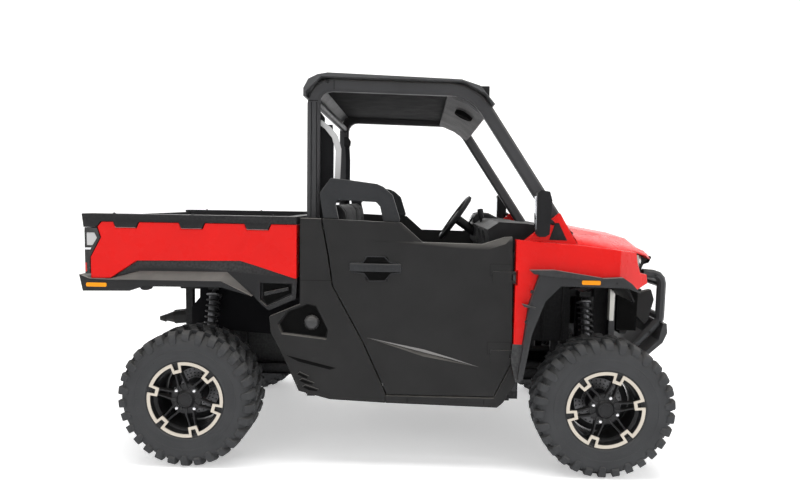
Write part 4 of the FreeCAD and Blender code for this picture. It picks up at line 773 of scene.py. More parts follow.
ring_metal = finish("machined_alloy", (0.50, 0.455, 0.39), 0.36, mottle=0.05, metal=0.4, grain=0.08,
                    grain_size=0.0006)
rim_paint = finish("rim_paint", (0.010, 0.010, 0.011), 0.35, mottle=0.15, coat=0.15, wear=(0.05, 0.05, 0.05),
                   dust_and_top_light=0.05, specular=0.14)
nut_steel = finish("plated_nut", (0.75, 0.75, 0.77), 0.22, mottle=0.04, metal=0.9)
disc_steel = finish("disc_steel", (0.13, 0.13, 0.135), 0.35, mottle=0.06, metal=0.8)
shield_steel = finish("shield_steel", (0.014, 0.014, 0.015), 0.5, grain=0.2, dust_and_top_light=0.05, specular=0.12)
for corner, (body, width, place, mirror) in CORNERS.items():
    edge = width / 2.0 - 8.5
    front_corner = corner[0] == "f"
    first_turn = 19.5 if front_corner else 45.0
    disc_y = 37.2 if front_corner else 38.2
    hub_end = 59.2 if front_corner else 60.2
    carrier = {"fr": "knuckle_right", "fl": "knuckle_left"}.get(corner, "chassis")
    spokes = repeated_round("spokes", split_spoke(-edge + 2.0), SPOKES, rim_paint, 180.0 + first_turn)
    axle_hub = turned("axle_hub", [(-edge + 44.0, 0.0), (-edge + 44.0, 38.0), (disc_y - 8.0, 38.0),
                                   (disc_y - 8.0, 64.0), (disc_y - 1.0, 66.0), (disc_y + 7.0, 66.0),
                                   (disc_y + 7.0, 38.0), (hub_end, 38.0), (hub_end, 0.0)], 36, closed=False)
    rim = joined("rim_" + corner + "_dressed", [barrel(edge), spokes, hub_cover(-edge + 2.0), axle_hub])
    smooth_faces(rim.data, 32.0)
    carried(shifted(rim, place, mirror), rim_paint, body)
    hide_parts("rim_" + corner)
    ring = face_ring(-edge + 0.5, first_turn)
    carried(shifted(ring, place, mirror), ring_metal, body)
    ring.name = "rim_" + corner + "_ring"
    nuts = repeated_round("rim_" + corner + "_nuts", wheel_nut(-edge + 2.0), NUTS, nut_steel,
                          21.0 if front_corner else 45.0)
    carried(shifted(nuts, place, mirror), nut_steel, body)
    disc = brake_disc(disc_y, disc_y + DISC_THICKNESS)
    disc.name = "brake_disc_" + corner
    carried(shifted(disc, place, mirror), disc_steel, body)
    shield = turned("brake_shield_" + corner, [
        (hub_end - 8.0, 44.0), (hub_end - 8.0, 146.0), (hub_end - 14.0, 150.0), (hub_end - 12.0, 151.5),
        (hub_end - 6.0, 148.0), (hub_end - 6.0, 58.0), (hub_end + 0.4, 57.0), (hub_end + 0.4, 44.0)], 48)
    smooth_faces(shield.data)
    carried(shifted(shield, place, mirror), shield_steel, carrier)
    calliper = rounded(arc_piece("brake_calliper_" + corner, [
        (disc_y - 12.0, 88.0), (disc_y - 12.0, 126.0), (disc_y - 6.0, 133.0), (disc_y + 9.0, 133.0),
        (disc_y + 9.4, 88.0), (disc_y + 7.6, 88.0), (disc_y + 7.6, 122.0), (disc_y - 1.6, 122.0),
        (disc_y - 1.6, 88.0)], 225.0, 262.0, 8), 0.4, 1)
    carried(shifted(calliper, place, mirror), shield_steel, carrier)

# The silencer is a rolled steel can across the tail; a second one along it ends in a drawn cone.
# Heat has dulled its black paint.
heat_black = finish("silencer_steel", (0.016, 0.016, 0.016), 0.45, grain=0.2, metal=0.3,
                    wear=(0.10, 0.09, 0.08), specular=0.16)
dressed("muffler", heat_black, 3.0)
added("outlet_pipe", [lathe("outlet", (-1398.0, 60.0, 579.0), (-1438.0, 60.0, 577.0), [
    (0.0, 20.0), (0.0, 23.0), (4.0, 24.0), (24.0, 17.0), (36.0, 14.5), (36.0, 12.0), (10.0, 12.0)], 24)],
    heat_black, "chassis")

# The radiator is a finned alloy core between two bright side tanks, upright behind the fascia.
# The near tank shows through the front arch, with a notch in its top.
radiator_alloy = finish("radiator_alloy", (0.05, 0.05, 0.052), 0.45, metal=0.7, grain=0.2)
tank_alloy = finish("tank_alloy", (0.62, 0.61, 0.57), 0.4, mottle=0.05, metal=0.25, grain=0.1)
dressed("radiator", radiator_alloy, 2.0)


def plate(name, outline, low, high, edge=0.0, steps=2):
    # A side-view outline in millimetres between two planes across the vehicle.
    piece = strip(name, [[(x * MM, y * MM, z * MM) for x, z in outline] for y in (low, high)])
    return rounded(piece, edge, steps) if edge else piece


def slab(name, x0, x1, z0, z1, low, high, edge=0.0):
    # An upright slab with four corners in side view.
    return plate(name, [(x0, z0), (x1, z0), (x1, z1), (x0, z1)], low, high, edge)


def mirrored(piece):
    # The same mesh on the other side.
    twin = in_scene(piece.name + "_left", piece.data.copy())
    twin.data.transform(Matrix.Scale(-1.0, 4, (0.0, 1.0, 0.0)))
    twin.data.flip_normals()
    return twin


def both(pieces):
    # Right-hand pieces with their left-hand twins.
    return pieces + [mirrored(piece) for piece in pieces]


tank = plate("tank", [(1194.0, 698.0), (1218.0, 698.0), (1221.0, 868.0), (1215.0, 870.0), (1214.0, 862.0),
                      (1202.0, 862.0), (1201.0, 870.0), (1194.0, 868.0)], -372.0, -334.0, 2.0)
added("radiator_tanks", both([tank]), tank_alloy, "chassis")
FINS = 38
FIN_STEP = 7.0


def row_tree():
    # A piece repeated along a straight line, from named steps.
    tree, given, out = tree_for("repeat_in_a_row", (
        ("Piece", "NodeSocketObject"), ("Count", "NodeSocketInt"), ("Step", "NodeSocketVector"),
        ("Paint", "NodeSocketMaterial")))
    line = made(tree, "GeometryNodeMeshLine", {"Count": given["Count"], "Offset": given["Step"]})
    turn = tree.nodes.new("FunctionNodeEulerToRotation")
    placed(tree, line.outputs["Mesh"], turn.outputs["Rotation"], given["Piece"], given["Paint"],
           out["Geometry"])
    return tree


REPEAT_ROW = row_tree()


def repeated_row(name, seed, count, step, paint):
    # A copy of the seed at every step along a line; the seed itself goes.
    piece = from_tree(name, REPEAT_ROW, {
        "Piece": seed, "Count": count, "Step": tuple(value * MM for value in step), "Paint": paint})
    bpy.data.objects.remove(seed)
    return piece


fin = slab("fin", 1235.0, 1238.5, 566.0, 569.0, -322.0, 322.0)
added("radiator_fins", [repeated_row("fins", fin, FINS, (0.0, 0.0, FIN_STEP), radiator_alloy)],
      radiator_alloy, "chassis")

# Pressed inner guards close the front arches off from the frame; they are black moulded sheet.
# Each is one shallow tray, pressed with upright ribs.
black_plastic = finish("black_moulded_plastic", (0.010, 0.010, 0.011), 0.5, grain=0.3, grain_size=0.0014,
                       wear=(0.03, 0.03, 0.03), dust_and_top_light=0.05, specular=0.12)
guards = []
for outline in ([(742.0, 560.0), (742.0, 930.0), (1006.0, 934.0), (1006.0, 560.0)],
                [(1134.0, 560.0), (1134.0, 934.0), (1200.0, 930.0), (1234.0, 860.0), (1234.0, 560.0)]):
    guards.append(plate("inner_guard", outline, -272.0, -268.0, 1.0))
for x in (790.0, 850.0, 960.0):
    guards.append(slab("rib", x, x + 16.0, 570.0, 915.0, -278.0, -270.0, 1.5))
added("inner_guards", both(guards), black_plastic, "chassis")

# The cage is profiled steel tube in satin black: two side hoops, cross tubes and cast corner sleeves.
# Pairs of round-head bolts clamp the sleeves, and a rolled groove runs down each post.
# Its raised dust term lightens the tubes' upward faces: painted top light as well as dust.
cage_paint = finish("cage_paint", (0.038, 0.038, 0.040), 0.4, grain=0.18, grain_size=0.0008,
                    wear=(0.06, 0.06, 0.06), dust_and_top_light=0.25, specular=0.17)
groove_shade = finish("groove_shade", (0.003, 0.003, 0.003), 0.8, specular=0.04)
dressed("cage", cage_paint, 3.0)
bolt_steel = finish("black_bolt", (0.022, 0.022, 0.023), 0.3, metal=0.6, wear=(0.12, 0.12, 0.12))


def scatter_tree():
    # A piece at every point of a mesh, turned one way.
    tree, given, out = tree_for("fasteners_at_points", (
        ("Piece", "NodeSocketObject"), ("Turn", "NodeSocketVector"), ("Paint", "NodeSocketMaterial")))
    turn = made(tree, "FunctionNodeEulerToRotation", {"Euler": given["Turn"]})
    placed(tree, given["Geometry"], turn.outputs["Rotation"], given["Piece"], given["Paint"], out["Geometry"])
    return tree


FASTENERS = scatter_tree()
BOLT_HEAD = [(-3.0, 5.0), (0.0, 9.0), (1.2, 9.0), (1.4, 6.4), (4.2, 6.0), (5.6, 4.6), (6.0, 3.0), (4.4, 2.6)]


def bolts(name, places, turn, paint, scale=1.0):
    # Round-head bolts with a socket, at points in millimetres; no turn points them up.
    head = lathe("bolt", (0.0, 0.0, 0.0), (0.0, 0.0, 1.0), [(d * scale, r * scale) for d, r in BOLT_HEAD], 12)
    piece = from_tree(name, FASTENERS, {"Piece": head, "Turn": turn, "Paint": paint}, places)
    bpy.data.objects.remove(head)
    return piece


TO_RIGHT = (math.radians(90.0), 0.0, 0.0)
UPWARDS = (0.0, 0.0, 0.0)
corner_bolts = bolts("corner_bolts", [(-335.0, -666.0, 1893.0), (-300.0, -666.0, 1899.0),
                                      (-395.0, -666.0, 500.0), (-360.0, -666.0, 500.0)], TO_RIGHT, bolt_steel,
                     1.2)
added("cage_bolts", both([corner_bolts]), bolt_steel, "chassis")
GROOVE_WIDTH = 2.6
grooves = [slab("groove", x, x + wide, low, high, -667.0, -665.6)
           for x, wide, low, high in (
               (-378.0, GROOVE_WIDTH, 1240.0, 1800.0), (-352.0, GROOVE_WIDTH, 1240.0, 1800.0),
               (-268.0, GROOVE_WIDTH, 1862.0, 1907.0), (-392.0, 48.0, 1806.0, 1806.0 + GROOVE_WIDTH))]
added("cage_grooves", both(grooves), groove_shade, "chassis")

# The roof is one moulded sheet with a raised crown and a turned-down front lip; the liner is a grey tray
# under its front, with a round black speaker at its near end, and a dark lining closes the roof from below.
# The light bar sits on the roof's front slope.
# Its raised dust term lightens the roof's top: a painted highlight from above as well as dust.
roof_plastic = finish("roof_plastic", (0.060, 0.061, 0.063), 0.42, grain=0.3, grain_size=0.0012,
                      wear=(0.06, 0.06, 0.06), dust_and_top_light=0.25, specular=0.17)
liner_plastic = finish("liner_plastic", (0.075, 0.075, 0.077), 0.6, mottle=0.25, grain=0.4, grain_size=0.0012,
                       specular=0.12)
roof_ribs = [plate("roof_rib", [(-270.0, 1925.0), (-250.0, 1942.0), (290.0, 1920.0), (310.0, 1905.0)],
                   y - 16.0, y + 16.0, 5.0, 3) for y in (-380.0, -190.0, 0.0, 190.0, 380.0)]
dressed("roof", roof_plastic, 8.0, 3)
added("roof_ribs", roof_ribs, roof_plastic, "chassis")
dressed("roof_liner", liner_plastic, 3.0)
speaker_cloth = finish("speaker_cloth", (0.004, 0.004, 0.004), 0.9, grain=0.6, grain_size=0.003,
                       specular=0.04)
speaker = lathe("speaker", (391.0, -330.0, 1797.0), (368.0, -330.0, 1748.0), [
    (-4.0, 50.0), (18.0, 50.0), (21.0, 46.0), (21.0, 43.0), (17.0, 40.0), (20.0, 20.0), (23.0, 8.0),
    (23.5, 2.0)], 40)
added("roof_speaker", [speaker], speaker_cloth, "chassis")
headliner = finish("headliner", (0.006, 0.006, 0.007), 0.75, grain=0.3, specular=0.06)
LINING_HALF = 612.0
lining = plate("lining", [(-340.0, 1893.0), (345.0, 1872.0), (345.0, 1876.0), (-340.0, 1897.0)], -LINING_HALF,
               LINING_HALF, 1.5)
added("headlining", [lining], headliner, "chassis")
dressed("light_bar", black_plastic, 4.0)
bar_glass = finish("light_bar_glass", (0.55, 0.56, 0.58), 0.12, mottle=0.05, coat=0.8)
cell = lathe("lamp_cell", (503.0, -470.0, 1876.0), (510.0, -470.0, 1876.0), [
    (-3.0, 20.0), (1.0, 21.0), (2.5, 19.0), (1.0, 14.0), (0.5, 6.0), (1.5, 1.0)], 20)
added("light_bar_cells", [repeated_row("cells", cell, 21, (0.0, 47.0, 0.0), bar_glass)], bar_glass, "chassis")

# The tub of the cab: a pressed floor, the bulkhead behind the bench, and the moulded dash.
# A gauge hood stands on the dash before the driver, and a boot closes the foot of the gear lever.
for name, edge in (("bulkhead", 3.0), ("floor_pan", 2.0), ("driver_controls", 3.0)):
    dressed(name, black_plastic, edge)
dash_plastic = finish("dash_plastic", (0.013, 0.013, 0.014), 0.55, grain=0.4, grain_size=0.0014, dust_and_top_light=0.08,
                      specular=0.14)
dressed("dash", dash_plastic, 9.0, 3)
hood_line = [(505.0, 1190.0), (500.0, 1226.0), (530.0, 1262.0), (600.0, 1258.0), (668.0, 1224.0),
             (600.0, 1205.0)]
gauge_hood = plate("gauge_hood", hood_line, 250.0, 430.0, 12.0, 3)
added("gauge_hood", [gauge_hood], dash_plastic, "chassis")
gauge_glass = finish("gauge_glass", (0.02, 0.025, 0.03), 0.08, coat=1.0)
added("gauge", [lathe("gauge", (498.0, 340.0, 1222.0), (490.0, 340.0, 1226.0), [
    (-4.0, 42.0), (4.0, 42.0), (6.0, 39.0), (4.0, 36.0), (3.0, 4.0)], 36)], gauge_glass, "chassis")
boot_steps = [(0.0, 38.0), (6.0, 36.0), (12.0, 30.0), (16.0, 33.0), (22.0, 25.0), (26.0, 28.0), (32.0, 19.0),
              (36.0, 21.0), (44.0, 10.0)]
added("lever_boot", [lathe("lever_boot", (541.0, 40.0, 1090.0), (530.0, 40.0, 1200.0), boot_steps, 28)],
      boot_rubber, "chassis")
knob = lathe("lever_knob", (531.0, 40.0, 1228.0), (524.0, 40.0, 1288.0), [
    (0.0, 9.0), (4.0, 13.0), (16.0, 15.5), (40.0, 18.0), (52.0, 17.0), (58.0, 12.0), (60.0, 4.0)], 24)
added("lever_knob", [knob], boot_rubber, "chassis")
vents = []
for y in (-380.0, -150.0, 150.0):
    vents.append(lathe("vent", (512.0, y, 1150.0), (498.0, y, 1148.0), [
        (-4.0, 36.0), (6.0, 36.0), (9.0, 33.0), (6.0, 29.0), (3.0, 28.0), (3.0, 10.0), (7.0, 8.0),
        (8.0, 2.0)], 32))
added("dash_vents", vents, black_plastic, "chassis")

# The steering wheel has a padded rubber grip on a steel ring, three spokes and a boss.
# The grip's top and foot carry pale hand pads.
grip_rubber = finish("grip_rubber", (0.012, 0.012, 0.013), 0.6, grain=0.35, grain_size=0.001, specular=0.14)
dressed("steering_wheel", grip_rubber, 3.0, 3)
pad_rubber = finish("grip_pad_rubber", (0.16, 0.16, 0.165), 0.5, grain=0.2, specular=0.12)
WHEEL_CENTRE = Vector((0.392, 0.340, 1.224))
WHEEL_LEAN = math.radians(35.0)
GRIP_CIRCLE = 150.0
PAD_RADIUS = 16.2
PAD_STEPS = 12
pads = []
for middle in (0.0, 180.0):
    stations = []
    for step in range(PAD_STEPS + 1):
        turn = math.radians(middle - 24.0 + 4.0 * step)
        centre = Vector((math.cos(turn), math.sin(turn), 0.0)) * GRIP_CIRCLE
        out_way = centre.normalized()
        section = []
        for index in range(12):
            angle = 2.0 * math.pi * index / 12
            section.append(tuple((centre + out_way * math.cos(angle) * PAD_RADIUS
                                  + Vector((0.0, 0.0, PAD_RADIUS * math.sin(angle)))) * MM))
        stations.append(section)
    pads.append(strip("grip_pad", stations))
grip_pads = joined("grip_pads", pads)
PAD_TURN = WHEEL_LEAN - math.pi / 2.0
grip_pads.data.transform(Matrix.Translation(WHEEL_CENTRE) @ Matrix.Rotation(PAD_TURN, 4, "Y"))
smooth_faces(grip_pads.data, 50.0)
carried(grip_pads, pad_rubber, "steering_wheel")

# The bench is two pads and two backs of foam in black vinyl, sewn with upright channels.
# Each is a pad swollen against its cover, with a plain bolster at both sides of the channels.
seat_vinyl = finish("seat_vinyl", (0.014, 0.014, 0.015), 0.55, grain=0.45, grain_size=0.0011,
                    wear=(0.03, 0.03, 0.03), dust_and_top_light=0.05, specular=0.14)
PAD_SHRINK = 9.0
PAD_REACH = 8.0
PAD_FRAMES = 20
CHANNEL_STEP = 0.058
CHANNEL_DEPTH = 0.0075
CHANNEL_WIDTH = 0.006
BOLSTER = 0.075
SEAM_DEPTH = 0.010
SEAM_WIDTH = 0.007


def half_of(node, side, name):
    # The right or the left solid of a node, as its own mesh with merged corners.
    piece = in_scene(name, nodes[node].data.copy())
    with opened(piece.data) as shape:
        bmesh.ops.remove_doubles(shape, verts=shape.verts, dist=2e-5)
        away = []
        for point in shape.verts:
            point.tag = False
        for start in shape.verts:
            if start.tag:
                continue
            island = [start]
            start.tag = True
            for point in island:
                for edge in point.link_edges:
                    other = edge.other_vert(point)
                    if not other.tag:
                        other.tag = True
                        island.append(other)
            middle = sum(point.co.y for point in island) / len(island)
            if middle * side < 0.0:
                away += island
        bmesh.ops.delete(shape, geom=away, context="VERTS")
    return piece


def swollen(piece):
    # A foam pad: rounded, drawn in, then blown up against its cover by a short cloth run.
    rounded(piece, 22.0, 4)
    fine = piece.modifiers.new("even_grid", "REMESH")
    fine.mode = "VOXEL"
    fine.voxel_size = 0.007
    settled(piece)
    mesh = piece.data
    starts = [point.co - point.normal * PAD_SHRINK * MM for point in mesh.vertices]
    for point, start in zip(mesh.vertices, starts):
        point.co = start
    cloth = piece.modifiers.new("cover", "CLOTH")
    cloth.settings.quality = 4
    cloth.settings.mass = 0.3
    cloth.settings.tension_stiffness = 25.0
    cloth.settings.compression_stiffness = 20.0
    cloth.settings.use_pressure = True
    cloth.settings.uniform_pressure_force = 4.0
    cloth.settings.effector_weights.gravity = 0.0
    cloth.point_cache.frame_start = 1
    cloth.point_cache.frame_end = PAD_FRAMES
    scene = bpy.context.scene
    for number in range(1, PAD_FRAMES + 1):
        scene.frame_set(number)
    settled(piece)
    scene.frame_set(1)
    for point, start in zip(piece.data.vertices, starts):
        move = point.co - start
        if move.length > PAD_REACH * MM:
            point.co = start + move.normalized() * PAD_REACH * MM
    return piece


def channelled(piece, faces_out, sides):
    # Sewn channels pull the cover in along lines that run with the body; two side bolsters stay plain.
    low, high = sides
    middle = (low + high) / 2.0
    mesh = piece.data
    mesh.update()
    for point, normal in zip(mesh.vertices, [item.vector.copy() for item in mesh.vertex_normals]):
        if faces_out(normal):
            offset = point.co.y - middle
            if abs(offset) < (high - low) / 2.0 - BOLSTER:
                nearest = (offset / CHANNEL_STEP - round(offset / CHANNEL_STEP)) * CHANNEL_STEP
                point.co -= normal * CHANNEL_DEPTH * math.exp(-(nearest / CHANNEL_WIDTH) ** 2)
            for seam in (low + BOLSTER, high - BOLSTER):
                point.co -= normal * SEAM_DEPTH * math.exp(-((point.co.y - seam) / SEAM_WIDTH) ** 2)
    smooth = piece.modifiers.new("soft", "SUBSURF")
    smooth.levels = 1
    smooth.render_levels = 1
    settled(piece)
    for face in piece.data.polygons:
        face.use_smooth = True
    return piece


def facing_up(normal):
    # The sat-on face of a cushion.
    return normal.z > 0.3 or (normal.x > 0.5 and normal.z > -0.4)


def facing_front(normal):
    # The leaned-on face of a back, and its top.
    return normal.x > 0.3 or normal.z > 0.6


for side, sides, label in ((-1.0, (-0.560, 0.060), "right"), (1.0, (0.070, 0.560), "left")):
    for node, faces_out in (("seat_cushions", facing_up), ("seat_backs", facing_front)):
        pad = channelled(swollen(half_of(node, side, node[:-1] + "_" + label)), faces_out, sides)
        carried(pad, seat_vinyl, "chassis")
        if side < 0.0:
            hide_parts(node)

# Lap and shoulder belts: flat woven webbing from a retractor on each rear post, over a pillar loop.
# The webbing is black; a second, pale band runs beside the near rear post.
webbing = finish("black_webbing", (0.012, 0.012, 0.013), 0.8, grain=0.6, grain_size=0.0012, specular=0.08)
pale_webbing = finish("pale_webbing", (0.42, 0.42, 0.42), 0.8, mottle=0.06, grain=0.5, grain_size=0.0012,
                      specular=0.08)


def band(name, path, width_way, width, thick):
    # A flat strap along a path in millimetres; its width runs one fixed way.
    way = Vector(width_way).normalized() * width / 2.0
    stations = []
    for index, place in enumerate(path):
        here = Vector(place)
        ahead_of = Vector(path[min(index + 1, len(path) - 1)])
        behind = Vector(path[max(index - 1, 0)])
        up = (ahead_of - behind).cross(way).normalized() * thick / 2.0
        corners = ((-way, -up), (way, -up), (way, up), (-way, up))
        stations.append([tuple((here + a + b) * MM) for a, b in corners])
    return strip(name, stations)


BELT_Y = 596.0
BELT_THICK = 2.0
belts = []
retractors = []
for side, middle, width in ((-1.0, -312.0, 74.0), (1.0, -336.0, 30.0)):
    y = side * BELT_Y
    belts.append(band("shoulder_belt", [(middle - 6.0, y, 1700.0), (middle, y, 1600.0), (middle, y, 1400.0),
                                        (middle - 4.0, y, 1190.0)], (1.0, 0.0, 0.0), width, BELT_THICK))
    near, far = sorted((y, side * 612.0))
    retractors.append(plate("retractor", [(-366.0, 1690.0), (-322.0, 1694.0), (-318.0, 1730.0),
                                          (-340.0, 1760.0), (-366.0, 1760.0)], near, far, 5.0))
added("black_belts", belts, webbing, "chassis")
added("belt_retractors", retractors, black_plastic, "chassis")
added("pale_belt", [band("pale_belt", [(-346.0, -622.0, 1714.0), (-301.0, -622.0, 1680.0),
                                       (-266.0, -622.0, 1637.0), (-248.0, -622.0, 1573.0),
                                       (-250.0, -622.0, 1499.0), (-254.0, -622.0, 1400.0)], (1.0, 0.0, 0.35),
                         30.0, BELT_THICK)], pale_webbing, "chassis")

# Door skins are vacuum-formed dark grained sheet over a steel frame, hung on pins at the front.
# Each has a pull handle in a cup, and a moulded arm-rest hoop bolted along its top.
# Its high dust term lightens upward faces such as the door's top: painted top light as well as dust.
grey_plastic = finish("dark_grained_plastic", (0.018, 0.0178, 0.0179), 0.58, grain=0.08, grain_size=0.0012,
                      dust_and_top_light=0.5, specular=0.12)
hoop_plastic = finish("hoop_plastic", (0.020, 0.021, 0.023), 0.42, grain=0.2, grain_size=0.0012, dust_and_top_light=0.14,
                      wear=(0.06, 0.06, 0.06), specular=0.16)
# Near-black for dark joints between parts, and for painted shade laid in cups, slots, recesses, pockets and
# ducts.
seam_shade = finish("seam_shade", (0.004, 0.004, 0.004), 0.8, specular=0.04)
DOOR_FACE_Y = -735.0


def framed(name, outline, width, low, high, edge=0.0):
    # A closed rim of one width inside a side-view outline, between two planes.
    count = len(outline)
    inner = []
    turn = sum(outline[k][0] * outline[(k + 1) % count][1] - outline[(k + 1) % count][0] * outline[k][1]
               for k in range(count))
    sign = 1.0 if turn > 0.0 else -1.0
    for index in range(count):
        before, here, after = (Vector(outline[(index + k) % count]) for k in (-1, 0, 1))
        first = (here - before).normalized()
        second = (after - here).normalized()
        normal_one = Vector((-first.y, first.x)) * sign
        normal_two = Vector((-second.y, second.x)) * sign
        middle = (normal_one + normal_two).normalized()
        inner.append(here + middle * width / max(0.4, middle.dot(normal_one)))
    piece = rim_between(name, [
        [(x * MM, y * MM, z * MM) for x, z in line] for y in (low, high) for line in (outline, inner)])
    return rounded(piece, edge, 2) if edge else piece


BEZEL = [(-178.0, 1004.0), (-170.0, 1024.0), (-112.0, 1027.0), (-92.0, 1057.0), (-6.0, 1057.0),
         (22.0, 1029.0), (70.0, 1025.0), (82.0, 1001.0), (72.0, 974.0), (28.0, 970.0), (-2.0, 935.0),
         (-80.0, 933.0), (-107.0, 970.0), (-164.0, 974.0)]
CREASE = ((-88.0, 656.0, 0.05), (60.0, 623.0, 0.5), (194.0, 592.0, 1.0), (330.0, 559.0, 0.5),
          (462.0, 522.0, 0.05))
# A lighter grey strip along the door's crease: a painted highlight where the crease's facet catches the
# light.
crease_highlight_paint = finish("polished_crease", (0.10, 0.10, 0.105), 0.35, mottle=0.05, dust_and_top_light=0.5, specular=0.2)
HINGE_COVERS = ([(504.0, 1030.0), (606.0, 1030.0), (610.0, 971.0), (505.0, 971.0)],
                [(499.0, 648.0), (616.0, 650.0), (614.0, 590.0), (501.0, 587.0)])
for side in ("right", "left"):
    body = "door_" + side
    dressed("door_panel_" + side, grey_plastic, 3.0)
    dressed("door_trim_" + side, hoop_plastic, 6.0, 3)
    bezel = framed("bezel_" + side, BEZEL, 5.0, DOOR_FACE_Y - 2.6, DOOR_FACE_Y + 1.0, 1.0)
    lines = [framed("cover", outline, 1.5, DOOR_FACE_Y - 0.4, DOOR_FACE_Y + 0.6) for outline in HINGE_COVERS]
    # A near-black plate over the whole bezel outline: painted shade inside the handle's cup, showing round
    # the bar.
    cup = plate("cup", BEZEL, DOOR_FACE_Y - 0.9, DOOR_FACE_Y + 0.6)
    bar = plate("bar", [(-166.0, 986.0), (-170.0, 1000.0), (-160.0, 1013.0), (64.0, 1013.0), (73.0, 1000.0),
                        (64.0, 986.0)], DOOR_FACE_Y - 8.0, DOOR_FACE_Y + 0.6, 4.0, 3)
    crease = strip("crease", [[(x * MM, y * MM, (z + rise) * MM) for rise, y in (
        (12.0 * share, DOOR_FACE_Y + 0.6), (0.0, DOOR_FACE_Y - 11.0 * share),
        (-4.0 * share, DOOR_FACE_Y + 0.6))] for x, z, share in CREASE])
    pieces = [bezel, bar, cup, crease] + lines
    if side == "left":
        left = [mirrored(piece) for piece in pieces]
        for piece in pieces:
            bpy.data.objects.remove(piece)
        pieces = left
    added("handle_bezel_" + side, pieces[:2], hoop_plastic, body)
    added("handle_cup_" + side, pieces[2:3], seam_shade, body)
    # The crease strip carries the painted highlight.
    added("door_crease_" + side, pieces[3:4], crease_highlight_paint, body)
    added("hinge_cover_lines_" + side, pieces[4:], seam_shade, body)

# The rear quarter and the rocker are moulded in the same grained plastic, clipped to the sill.
# The quarter holds the filler cap in a deep cup, and three louvres cool the case behind it.
dressed("side_panels", grey_plastic, 4.0)
LOUVRES = ((-428.0, 455.0, -376.0), (-416.0, 423.0, -350.0), (-400.0, 391.0, -328.0))
# A dark tapered plate below the filler cap: a painted shadow under the quarter's step.
STEP_SHADOW = [(-485.0, 560.0), (-237.0, 501.0), (-267.0, 492.0), (-425.0, 530.0)]
QUARTER_SEAM = [(-420.0, 932.0), (-262.0, 932.5), (-262.0, 934.5), (-420.0, 934.0)]
seams_and_shades = [plate("step_line", STEP_SHADOW, -735.6, -734.6), plate("quarter_seam", QUARTER_SEAM, -735.5, -734.6),
         slab("sill_joint", 114.0, 116.5, 330.0, 360.0, -735.5, -734.6),
         slab("sill_joint", 490.0, 492.5, 334.0, 360.0, -735.5, -734.6)]
# Dark plates behind the louvre fins: painted shade in the slots.
for low_x, low_z, high_x in LOUVRES:
    seams_and_shades.append(plate("louvre_slot", [(low_x, low_z + 10.0), (low_x + 12.0, low_z + 18.0),
                                       (high_x, low_z - 2.0), (high_x - 4.0, low_z - 9.0),
                                       (low_x + 30.0, low_z - 4.0)], -735.6, -733.6))
added("quarter_seams", both(seams_and_shades), seam_shade, "chassis")
fins = []
for low_x, low_z, high_x in LOUVRES:
    fins.append(plate("louvre_fin", [(low_x - 4.0, low_z + 14.0), (low_x + 12.0, low_z + 24.0),
                                     (high_x + 6.0, low_z + 3.0), (high_x + 6.0, low_z - 2.0),
                                     (low_x + 12.0, low_z + 17.0)], -739.0, -734.0, 1.2))
added("quarter_louvres", both(fins), grey_plastic, "chassis")
cap_lines = [(-20.0, 30.0), (-6.0, 36.0), (2.0, 37.0), (8.0, 36.0), (16.0, 32.0), (23.0, 24.0), (27.0, 12.0),
             (27.5, 2.0)]
# A near-black plate at the back of the filler cup: painted shade in the recess.
recess = plate("recess", [(-518.0, 709.0), (-476.0, 771.0), (-382.0, 808.0), (-345.0, 800.0), (-287.0, 685.0),
                          (-296.0, 651.0), (-500.0, 672.0)], -708.9, -706.5)
added("cap_recess", both([recess]), seam_shade, "chassis")
CAP_X = -362.0
CAP_Z = 722.0
CAP_RADIUS = 36.5
GRIPS = 18
GRIP_HALF = 1.6
cap = lathe("cap", (CAP_X, -708.0, CAP_Z), (CAP_X, -740.0, CAP_Z), cap_lines, 40)
grips = []
for number in range(GRIPS):
    turn = 2.0 * math.pi * number / GRIPS
    x = CAP_X + CAP_RADIUS * math.sin(turn)
    z = CAP_Z + CAP_RADIUS * math.cos(turn)
    grips.append(slab("grip", x - GRIP_HALF, x + GRIP_HALF, z - GRIP_HALF, z + GRIP_HALF, -717.0, -707.0))
cap_plastic = finish("cap_plastic", (0.030, 0.030, 0.031), 0.3, grain=0.1, dust_and_top_light=0.3, coat=0.3, specular=0.2)
fuel_cap = added("fuel_cap_dressed", [cap] + grips, cap_plastic, "chassis")
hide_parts("fuel_cap")

# Front wings and bonnet are injection-moulded, painted red and lacquered; the wing's sail rises to the
# cage. Grained grey flares are screwed over the arches, with a raised strake along each.
red_plastic = finish("red_moulded_plastic", (0.60, 0.0065, 0.005), 0.28, mottle=0.03, coat=0.12,
                     dust_and_top_light=0.02, specular=0.1)
for name, edge in (("hood", 8.0), ("fenders", 4.0)):
    dressed(name, red_plastic, edge, 3)
# Its high dust term makes the strakes' tops lighter than the sides: painted top light as well as dust.
flare_plastic = finish("flare_plastic", (0.026, 0.0265, 0.028), 0.48, grain=0.15, grain_size=0.0012, dust_and_top_light=0.6,
                       wear=(0.07, 0.07, 0.07), specular=0.16)
dressed("fender_flares", flare_plastic, 5.0, 2)
dressed("arch_liners", black_plastic, 1.0)
inserts = [plate("sail_insert", [(786.0, 1150.0), (872.0, 1148.0), (830.0, 1232.0), (812.0, 1232.0)], -724.4,
                 -721.4, 1.0)]
added("sail_inserts", both(inserts), black_plastic, "chassis")
fender_foot = plate("fender_foot", [(621.0, 641.0), (676.0, 642.0), (664.0, 455.0), (640.0, 455.0),
                                    (618.0, 545.0)], -748.8, -744.0)
WING_SLOPE = 0.18
FOOT_REAR_X = 0.625
for point in fender_foot.data.vertices:
    point.co.y -= WING_SLOPE * (point.co.x - FOOT_REAR_X)
added("fender_feet", both([fender_foot]), flare_plastic, "chassis")
